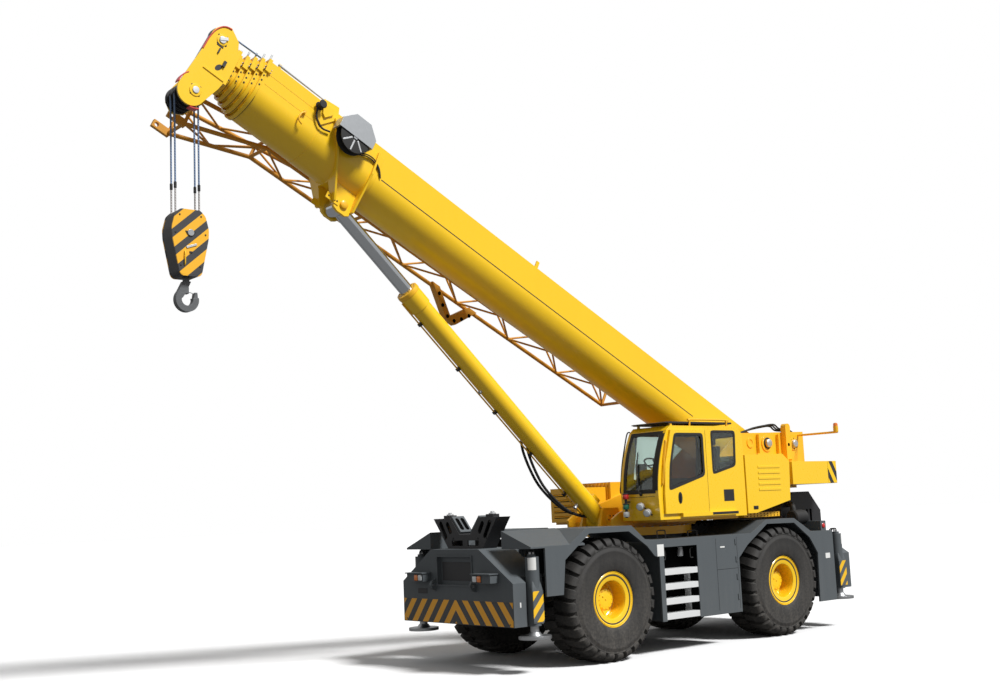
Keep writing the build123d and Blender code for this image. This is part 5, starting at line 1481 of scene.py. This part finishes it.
@dataclass
class LiftTrim(Trim):
    """Fittings of the luffing cylinder's barrel: gland ring, pipe with clamps, and ports."""

    body: str = "lift_barrel"
    gland: float = 1.639
    pipe_y: float = 0.05
    pipe_t: float = -0.180
    clamp_pitch: float = 0.95

    def place(self) -> Matrix:
        """Places measured back from the rod's eye."""
        return self.shop.layout.lift()

    def parts(self) -> Parts:
        """The ring, bolts, pipe, clamps and ports. Left is the negative Y of these places."""
        g, y, t = self.gland, self.pipe_y, self.pipe_t
        profile = [(0.107, -0.004), (0.150, -0.010), (0.176, -0.002), (0.180, 0.02), (0.180, 0.06),
                   (0.175, 0.066)]
        at = Matrix.Translation((g, 0, 0)) @ Matrix.Rotation(-math.pi / 2, 4, "Z")
        yield "gland_ring", "frame enamel", [lathe(profile, segments=40).moved(at)]
        spots = [(g - 0.004, 0.142 * math.cos(TURN * f), 0.142 * math.sin(TURN * f)) for f in fractions(12)]
        yield "gland_bolts", "black enamel", [bolts(spots, (-1, 0, 0), 0.011)]
        pipe = [(g + 0.16, y, t + 0.04), (g + 0.18, y, t + 0.01), (g + 0.30, y, t), (g + 2.6, y, t),
                (g + 4.6, y, t), (g + 4.85, y, t + 0.04)]
        yield "barrel_pipe", "frame enamel", [cord(pipe, 0.013, 8, 10)]
        clamps = [g + 0.5 + self.clamp_pitch * i for i in range(5)]
        yield "pipe_clamps", "black enamel", [
            box((x, y - 0.03, t - 0.019), (x + 0.05, y + 0.03, t + 0.045)) for x in clamps]
        yield "foot_port", "zinc steel", [
            rod((x, 0, -0.15), (x, 0, low), 0.03) for x, low in ((6.25, -0.23), (3.62, -0.19))]


@dataclass
class LiftHoses(Trim):
    """The two dark hoses that hang from the barrel down to its foot."""

    body: str = "lift_barrel"

    def parts(self) -> Parts:
        """Two bowed hoses side by side."""
        bow = np.array([(2.34, -0.12, 3.38), (2.265, -0.165, 3.20), (2.14, -0.17, 2.935),
                        (1.97, -0.17, 2.675), (1.73, -0.16, 2.445), (1.475, -0.14, 2.265),
                        (1.24, -0.12, 2.18), (1.02, -0.10, 2.16)])
        apart = np.array((-0.05, 0.07, -0.03))
        yield "foot_hoses", "black rubber", [cord(bow + k * apart, 0.022, 6, 12) for k in range(2)]


@dataclass
class AlongBoom(Trim):
    """Fine pieces whose places are given along the boom."""

    def place(self) -> Matrix:
        """The matrix from places along the boom to the frame."""
        return self.shop.layout.boom()


@dataclass
class BoomTrim(AlongBoom):
    """Fittings of the base section: lines, reel, brackets, rod, cables, saddle caps and jib dressings."""

    body: str = "boom"
    stands_for: dict[str, tuple[str, ...]] = field(default_factory=lambda: {"reel_drum": ("cable_reel",)})
    side_y: float = 0.38
    reel_s: float = 9.79
    reel_t: float = -0.21

    def parts(self) -> Parts:
        """Everything that stays on the base section."""
        y = self.side_y
        yield "side_lines", "black enamel", paired(((1.8, 9.06), (y, y + 0.0015), (-0.401, -0.386)))
        yield from self.reel()
        yield from self.brackets()
        yield "side_seams", "frame enamel", paired(
            *(((9.95, 11.23), (y, y + 0.0015), (t, t + 0.007)) for t in (-0.135, -0.30)))
        yield from self.saddle()
        yield "jib_pins", "boom enamel", [
            rod((s, -0.395, -0.12), (s, -0.53, -0.12), 0.030) for s in (3.30, 6.30, 8.70)]
        # The bracket's holes are dark discs of painted shade.
        holes = ((6.02, -0.65), (6.13, -0.78), (6.25, -0.885), (6.40, -0.885), (6.56, -0.77), (6.70, -0.63))
        yield "bracket_holes", "deep shadow", [
            lathe([(0.034, 0.0), (0.032, 0.0015)], (s, -0.9398, t), segments=16) for s, t in holes]

    def reel(self) -> Parts:
        """The cable reel: its drum, spokes, half-octagon guard and two cables."""
        y, s, t = self.side_y, self.reel_s, self.reel_t
        profile = [(0.06, -0.079), (0.06, 0.0), (0.245, 0.001), (0.25, 0.012), (0.235, 0.016), (0.14, 0.020),
                   (0.14, 0.128), (0.235, 0.132), (0.25, 0.136), (0.25, 0.146), (0.20, 0.149), (0.06, 0.149)]
        yield "reel_drum", "black rubber", [lathe(profile, (s, y + 0.086, t), segments=40)]
        spoke, hub = box((0.07, 0.0, -0.012), (0.235, 0.004, 0.012)), Matrix.Translation((s, y + 0.235, t))
        yield "reel_spokes", "zinc steel", [
            spoke.moved(hub @ Matrix.Rotation(TURN * f, 4, "Y")) for f in fractions(8)]
        shape = np.array([(-0.30, -0.02), (-0.30, 0.13), (-0.13, 0.30), (0.13, 0.30), (0.30, 0.13),
                          (0.30, -0.02)])
        outer, inner = shape + (s, t), shape * 0.93 + (s, t)
        yield "reel_guard", "reel silver", [
            prism(np.concatenate([outer, inner[::-1]]), y + 0.066, y + 0.244),
            prism(outer, y + 0.244, y + 0.250),
            box((s - 0.03, y + 0.236, t - 0.05), (s + 0.03, y + 0.244, t + 0.28))]
        curve = np.array([(9.60, 0.05, -0.30), (9.44, 0.042, -0.222), (9.30, 0.034, -0.212),
                          (9.17, 0.026, -0.285), (9.09, 0.018, -0.395)]) + (0, y, 0)
        apart = np.array([(0, 0, drop) for drop in (-0.03, -0.03, -0.03, -0.02, 0)])
        yield "reel_cables", "black rubber", [cord(curve + k * apart, 0.010, 6) for k in range(2)]

    def brackets(self) -> Parts:
        """The roller with its bracket and hose, the hook bracket, and the top rod with its lugs."""
        y = self.side_y
        plate = np.array([(10.44, -0.02), (10.33, 0.100), (10.12, 0.125), (10.06, -0.05), (10.26, -0.29),
                          (10.37, -0.21)])
        yield "roller_bracket", "boom enamel", [
            prism(plate, y + 0.0002, y + 0.030), prism((plate + (10.26, -0.05)) / 2, y + 0.03, y + 0.06)]
        profile = [(0.05, 0.0), (0.062, 0.01), (0.045, 0.03), (0.045, 0.09), (0.062, 0.11), (0.05, 0.12)]
        places = ((10.42, -0.10), (10.37, -0.24), (10.24, -0.33), (10.10, -0.30))
        hose = [(s, y + 0.045, t) for s, t in places]
        yield "roller", "black rubber", [lathe(profile, (10.40, y + 0.03, -0.06)), cord(hose, 0.014, 6)]
        hook = [(10.55, y + 0.04, -0.28), (10.60, y + 0.05, -0.36), (10.585, y + 0.05, -0.45),
                (10.52, y + 0.05, -0.48)]
        yield "hook_bracket", "frame enamel", [
            box((10.53, y, -0.31), (10.57, y + 0.05, -0.26)), cord(hook, 0.012)]
        top = [(s, 0.372, 0.092) for s in (10.36, 10.9, 11.17)]
        yield "top_rod", "zinc steel", [tube(top, np.array([0.010, 0.014, 0.018]), 10)]
        yield "top_lugs", "boom enamel", [
            box((5.95, y - 0.03, 0.055), (6.01, y - 0.005, 0.17)),
            *(box((s, 0.345, 0.055), (s + 0.04, 0.379, 0.115)) for s in (10.32, 11.12))]

    @staticmethod
    def saddle() -> Parts:
        """Caps, plates and bolts on both sides of the saddle that the luffing cylinder pushes."""
        profile = [(0.062, 0.0), (0.062, 0.012), (0.045, 0.022), (0.01, 0.023)]
        yield "saddle_caps", "frame enamel", discs(profile, 9.35, 0.205, -0.99)
        yield "saddle_plates", "boom enamel", paired(((9.43, 9.66), (0.187, 0.199), (-1.06, -0.96)))
        yield "saddle_bolts", "black enamel", [
            bolts([(s, side * 0.199, -1.01) for s in (9.47, 9.545, 9.62)], (0, side, 0), 0.013)
            for side in SIDES]


@dataclass
class CollarTrim(AlongBoom):
    """Adjusters, post sleeves and a dark band painted as shade at the mouth of one section."""

    index: int = 0
    front: float = 11.32
    pitch: float = 0.088
    shrink: float = 0.038
    belly_centre: float = -0.41
    stud_drops: tuple[float, ...] = (0.130, 0.170)
    bolt_drops: tuple[float, ...] = (0.26, 0.34, 0.42)

    def parts(self) -> Parts:
        """Studs with nuts beside the adjuster blocks, flat bolts, pale sleeves on the posts, and the band of
        painted shade.
        """
        half, crown = 0.38 - self.index * self.shrink, 0.055 - self.index * self.shrink
        s = self.front + self.index * self.pitch
        back, studs, heads, sleeves = s - 0.026, [], [], []
        for side in SIDES:
            y, face, post = side * (half + 0.024), side * (half + 0.02), side * (half - 0.06)
            levels = [crown - drop for drop in self.stud_drops]
            studs += [rod((s - 0.10, y, t), (s + 0.022, y, t), 0.009, 8) for t in levels]
            heads.append(bolts([(s + 0.001, y, t) for t in levels], (1, 0, 0), 0.015))
            flat = [(back, face, crown - drop) for drop in self.bolt_drops]
            heads.append(bolts(flat, (0, side, 0), 0.013))
            sleeves.append(rod((back, post, crown + 0.021), (back, post, crown + 0.1305), 0.0125, 10))
        yield f"collar_studs_{self.index}", "zinc steel", studs
        yield f"collar_nuts_{self.index}", "black enamel", heads
        yield f"post_sleeves_{self.index}", "zinc steel", sleeves
        # A dark band round the belly: painted shade between the collars.
        section = ((0.0535, 1.001), (0.0535, 1.045), (0.060, 1.045), (0.060, 1.001))
        gap_shade = [np.insert(arc((0, self.belly_centre), half * wide, 200, 340, 23), 0, s - behind, axis=1)
                for behind, wide in section]
        yield f"collar_seal_{self.index}", "black enamel", [grid(np.stack(gap_shade, axis=1), caps=True).outward()]


@dataclass
class HeadTrim(AlongBoom):
    """The boom head's red guards, keepers, holes, pins and its short run of rope."""

    body: str = "tele_5"
    head_s: float = 11.99
    upper: float = -0.122
    lower: float = -0.989
    face_y: float = 0.33

    @staticmethod
    def guard(points: Array, low: float, high: float, thick: float = 0.014) -> Shell:
        """A bent strip: a smooth path of (s, t) with a second one outside it, carried across the head.

        Args:
            points: the given points of the path.
            low: where the strip starts across the head.
            high: where it ends.
            thick: how far the second path lies from the first, square to its tangents.

        Returns:
            A closed strip.
        """
        path = smooth_path(np.insert(points, 1, 0.0, axis=1), 6)[:, (0, 2)]
        ahead = along(path)
        outer = path + np.stack([ahead[:, 1], -ahead[:, 0]], axis=-1) * thick
        rows = [np.insert(edge, 1, y, axis=1) for edge, y in
                ((path, low), (outer, low), (outer, high), (path, high))]
        return grid(np.stack(rows, axis=1), caps=True).outward()

    def parts(self) -> Parts:
        """Everything on the head."""
        s, f, pins = self.head_s, self.face_y, (self.upper, self.lower)
        top = np.array([(12.158, -0.40), (12.152, -0.20), (12.125, -0.06), (12.070, 0.040), (12.008, 0.084),
                        (11.94, 0.096)])
        yield "head_guards", "guard red", [
            self.guard(top, f - 0.06, f + 0.012),
            *(self.guard(arc((s, self.lower), 0.243, start, end, 6), f - 0.095, f + 0.004)
              for start, end in ((-8, 42), (-128, -98)))]
        over = np.insert(arc((s, self.upper), 0.168, 100, 10, 10), 1, 0.275, axis=1)
        yield "head_rope", "wire rope", [
            tube([(11.40, 0.27, 0.070), *over, (12.165, 0.265, -0.55), (12.165, 0.19, -0.95)], 0.012, 10)]
        tilt = Matrix.Translation((s - 0.01, f + 0.0182, self.upper + 0.02)) @ Matrix.Rotation(0.6, 4, "Y")
        yield "head_keepers", "zinc steel", [
            box((-0.06, 0.0, -0.022), (0.06, 0.012, 0.022)).moved(tilt),
            *(lathe([(r, 0.0), (r, 0.006), (0.02, 0.007)], (s, f + 0.018, t), segments=20)
              for r, t in zip((0.050, 0.046), pins))]
        around = ((0.075, 0.04), (-0.075, -0.04), (0.04, -0.075), (-0.04, 0.075))
        places = [(s + a, f, t + b) for t in pins for a, b in around]
        yield "head_bolts", "black enamel", [bolts(places, (0, 1, 0), 0.013)]
        # The oval is a flat black disc painted as the shade inside a hole in the head plate.
        turn = fractions(24) * TURN
        oval = np.stack([11.865 + 0.030 * np.cos(turn) - 0.030 * np.sin(turn),
                         -0.50 + 0.052 * np.sin(turn) + 0.02 * np.cos(turn)], axis=-1)
        yield "head_holes", "black enamel", [
            prism(oval, f + 0.0002, f + 0.0015), box((11.80, f, -0.46), (11.84, f + 0.03, -0.37)),
            box((11.955, f, -0.33), (11.975, f + 0.02, -0.25)),
            box((11.93, f, -0.225), (12.03, f + 0.006, -0.205))]
        yield "head_stiffeners", "boom enamel", [
            box((11.72, f, -0.64), (12.05, f + 0.012, -0.615)),
            *(lathe([(r, 0.0), (r, 0.010), (0.052, 0.012)], (s, f, t), segments=32)
              for r, t in ((0.085, self.lower), (0.080, self.upper)))]


@dataclass
class BlockTrim(Trim):
    """The hook block: striped side plates with a dark band between them, sheaves, pin, keeper and grip."""

    body: str = "hook_block"
    stands_for: dict[str, tuple[str, ...]] = field(default_factory=lambda: {"block_plates": ("hook_block",)})
    x: float = 8.10
    sheave_z: float = 6.060
    rise: float = 0.312
    height: float = 0.889
    half_width: float = 0.262
    plate_y: float = 0.1497
    rope_y: float = 0.06

    def outline(self, inset: float) -> Array:
        """The plate's outline of (x, z), moved inwards, with rounded corners."""
        top = self.sheave_z + self.rise - inset
        low = self.sheave_z + self.rise - self.height + inset
        half = self.half_width - inset
        right = [(0.54 * half, top), (0.82 * half, top - 0.072), (half, top - 0.250),
                 (0.98 * half, top - 0.375), (0.60 * half, low + 0.04), (0.46 * half, low)]
        corners = np.array(right + [(-a, z) for a, z in reversed(right)]) + (self.x, 0)
        return rounded_outline(corners, 0.028, 4)

    def parts(self) -> Parts:
        """The block's pieces."""
        x, z, y = self.x, self.sheave_z, self.plate_y
        ropes = (-self.rope_y, self.rope_y)
        yield "block_plates", "hook hazard bands", [
            prism(self.outline(0.001), low, high) for low, high in ((-0.1495, -0.131), (0.131, 0.1495))]
        inner, outer = self.outline(0.012), self.outline(0.004)
        band = [np.insert(edge, 1, w, axis=1) for edge, w in
                ((inner, -0.1305), (inner, 0.1305), (outer, 0.1305), (outer, -0.1305))]
        yield "block_band", "black enamel", [grid(np.stack(band, axis=1), closed_along=True).outward()]
        low = z + self.rise - self.height
        yield "block_trunnion", "black enamel", [
            box((x - 0.105, -0.1285, low + 0.002), (x + 0.105, 0.1285, low + 0.148))]
        wheel = np.array([(0.045, -0.026), (0.18, -0.026), (0.18, -0.016), (0.156, -0.012), (0.156, 0.012),
                          (0.18, 0.016), (0.18, 0.026), (0.045, 0.026)])
        yield "block_sheaves", "black enamel", [
            revolved(wheel, 48).moved(Matrix.Translation((x, w, z))) for w in ropes]
        yield "block_pin", "machined steel", [rod((x, -0.166, z), (x, 0.166, z), 0.045)]
        keeper = np.array([(-0.075, 0.02), (0.075, 0.02), (0.045, -0.03), (-0.045, -0.03)]) + (x, z)
        yield "block_keeper", "black enamel", [
            prism(keeper, y, 0.158), box((x - 0.02, y, 5.79), (x + 0.02, 0.160, 5.81))]
        tilt = Matrix.Translation((x - 0.01, y, 5.885)) @ Matrix.Rotation(0.35, 4, "Y")
        yield "block_handle", "zinc steel", [box((-0.075, 0.0, -0.014), (0.075, 0.010, 0.014)).moved(tilt)]
        grip = [(x + 0.085, 0.150, 5.62), (x + 0.088, 0.172, 5.65), (x + 0.088, 0.172, 5.78),
                (x + 0.085, 0.150, 5.81)]
        yield "block_grip", "boom enamel", [cord(grip, 0.008)]
        around = ((-0.15, 6.29), (0.15, 6.29), (-0.21, 6.05), (0.21, 6.05), (-0.13, 5.62), (0.14, 5.62))
        yield "block_bolts", "black enamel", [
            bolts([(x + a, side * y, b) for a, b in around], (0, side, 0), 0.012) for side in (1, -1)]
        yield "rope_ferrules", "black rubber", [
            rod((x + dx, w, 6.66), (x + dx, w, 6.74), 0.019) for dx in (-0.168, 0.168) for w in ropes]


@dataclass
class HookTrim(Trim):
    """The hook's safety latch."""

    body: str = "hook"
    x: float = 8.10
    bowl_z: float = 5.193

    def parts(self) -> Parts:
        """A thin sprung tongue from the neck to the tip."""
        places = ((0.02, 0.11), (-0.05, 0.105), (-0.12, 0.085))
        tongue = [(self.x + dx, 0.0, self.bowl_z + dz) for dx, dz in places]
        yield "hook_latch", "zinc steel", [cord(tongue, 0.008, 6)]


# The studio

@dataclass
class Studio:
    """Floor, lamps, world and the camera at the photograph's angle."""

    layout: Layout
    eye: tuple[float, float, float] = (15.1348, 14.7123, 2.3111)
    azimuth: float = -129.99
    elevation: float = 7.50
    roll: float = -2.455
    focal_pixels: float = 1228.6
    photo_width: float = 1000.0
    sensor: float = 36.0
    floor_reach: float = 160.0

    def camera(self) -> None:
        """Sets the camera from its place, its two angles and its roll."""
        data = bpy.data.cameras.new("camera")
        data.sensor_width = self.sensor
        data.lens = self.focal_pixels / self.photo_width * self.sensor
        data.clip_end = 400.0
        camera = bpy.data.objects.new("camera", data)
        bpy.context.scene.collection.objects.link(camera)
        a, e, r = (math.radians(v) for v in (self.azimuth, self.elevation, self.roll))
        ahead = Vector((math.cos(a) * math.cos(e), math.sin(a) * math.cos(e), math.sin(e)))
        right = Vector((math.sin(a), -math.cos(a), 0))
        up = right.cross(ahead)
        right, up = math.cos(r) * right + math.sin(r) * up, -math.sin(r) * right + math.cos(r) * up
        turn = Matrix((right, up, -ahead)).transposed()
        camera.matrix_world = Matrix.Translation(self.layout.base() @ Vector(self.eye)) @ turn.to_4x4()
        bpy.context.scene.camera = camera

    def lamps(self) -> None:
        """One broad key like open daylight, and a weak fill."""
        # name, strength, apparent size in degrees, direction that the light comes from
        for name, strength, size, towards in (("key", 4.1, 13.0, (-0.22, 0.74, 0.84)),
                                              ("fill", 0.05, 60.0, (0.9, -0.6, 0.5))):
            data = bpy.data.lights.new(name, "SUN")
            data.energy, data.angle = strength, math.radians(size)
            lamp = bpy.data.objects.new(name, data)
            lamp.rotation_mode = "QUATERNION"
            lamp.rotation_quaternion = Vector(towards).to_track_quat("Z", "Y")
            bpy.context.scene.collection.objects.link(lamp)

    def world(self) -> None:
        """A grey sky for the light, white to the camera and in glass and metal."""
        world = bpy.data.worlds.new("world")
        bpy.context.scene.world = world
        world.use_nodes = True
        world.node_tree.nodes.clear()
        n = Nodes(world.node_tree)
        rays = n.add("LightPath").outputs
        seen = n.math("MAXIMUM", n.math("MAXIMUM", rays["Is Camera Ray"], rays["Is Transmission Ray"]),
                      n.math("MULTIPLY", rays["Is Glossy Ray"], 0.5))
        strength = n.math("MAXIMUM", seen, 0.28)
        sky = n.add("Background", {"Color": (1.0, 1.0, 1.0, 1), "Strength": strength})
        n.add("OutputWorld", {"Surface": sky.outputs[0]})

    def floor(self) -> None:
        """A plain pale floor with a soft grain, which throws less light up than the camera sees on it."""
        r = self.floor_reach
        rows = np.array([[(-r, -r, 0), (r, -r, 0)], [(-r, r, 0), (r, r, 0)]], float)
        shell = grid(rows, closed_round=False)
        mesh = bpy.data.meshes.new("floor")
        mesh.from_pydata(shell.points, [], shell.faces)
        material = bpy.data.materials.new("pale floor")
        material.use_nodes = True
        material.node_tree.nodes.clear()
        n = Nodes(material.node_tree)
        place = n.add("TexCoord").outputs["Object"]
        noise = n.add("TexNoise", {"Vector": place, "Scale": 3.0, "Detail": 4.0}).outputs[0]
        ramp = n.add("MapRange", {"Value": noise, "To Min": 0.90, "To Max": 0.94}).outputs[0]
        seen = n.math("MAXIMUM", n.add("LightPath").outputs["Is Camera Ray"], 0.20)
        pale = n.math("MULTIPLY", ramp, seen)
        matt = n.add("BsdfPrincipled", {"Base Color": pale, "Roughness": 0.9, "Specular IOR Level": 0.0})
        n.add("OutputMaterial", {"Surface": matt.outputs[0]})
        mesh.materials.append(material)
        thing = bpy.data.objects.new("floor", mesh)
        bpy.context.scene.collection.objects.link(thing)

    def build(self) -> None:
        """Sets up the whole studio."""
        self.camera()
        self.lamps()
        self.world()
        self.floor()
        scene = bpy.context.scene
        scene.view_settings.view_transform = "Standard"


NODE_FINISH = {
    "slate enamel": ("carrier_frame", "left_bodywork", "right_bodywork", "front_outrigger_box",
                     "rear_outrigger_box", "lamps", *(f"{corner}_beam" for corner in CORNERS)),
    "black enamel": ("boom_rest", "engine_hood", "engine_block", "front_axle", "rear_axle",
                     *(f"{corner}_knuckle" for corner in CORNERS), "winch_drum", "head_sheaves"),
    "ribbed aluminium": ("steps",),
    "frame enamel": ("turntable", "deck_boxes", "lamp_bar"),
    "jib enamel": ("jib",),
    "cab enamel": ("side_cover", "cab_door", "counterweight"),
    "lined cab enamel": ("cab",),
    "boom enamel": ("boom_base", "boom_section_2", "boom_section_3", "boom_section_4", "boom_section_5",
                    "boom_head", "lift_barrel"),
    "chromed rod": ("lift_rod",),
    "machined steel": tuple(f"{corner}_jack" for corner in CORNERS),
    "cab glass": ("cab_glass",),
    "dark door glass": ("door_glass",),
    "seat cloth": ("cab_seat",),
    "wire rope": ("hoist_falls",),
    "forged iron": ("hook",),
}


def main() -> None:
    """Builds the studio, dresses the CAD nodes and adds every piece."""
    logging.basicConfig(level=logging.INFO, format="%(name)s %(message)s")
    layout = Layout.from_frame()
    Studio(layout).build()
    shop = Workshop(Finishes(), layout)
    for finish, names in NODE_FINISH.items():
        for name in names:
            shop.dress(name, finish)
    sides = [(end, side) for end in ("front", "rear") for side in Side]
    groups = [Wheels(shop), BoxTrim(shop), BoxTrim(shop, label="rear")]
    groups += [FrontLamps(shop), RestTrim(shop), CarrierTrim(shop)]
    groups += [JackTrim(shop, f"beam_{end}_{side.name.lower()}", end=end, side=side) for end, side in sides]
    groups += [CabTrim(shop), DoorTrim(shop), DeckTrim(shop)]
    groups += [LiftTrim(shop), LiftHoses(shop), BoomTrim(shop)]
    mouths = ("boom", "tele_2", "tele_3", "tele_4", "tele_5")
    groups += [CollarTrim(shop, body, index=index) for index, body in enumerate(mouths)]
    groups += [HeadTrim(shop), BlockTrim(shop), HookTrim(shop)]
    for group in groups:
        LOG.info("building %s", type(group).__name__)
        group.build()
    LOG.info("%d pieces made", shop.made)


if __name__ == "__main__":
    main()
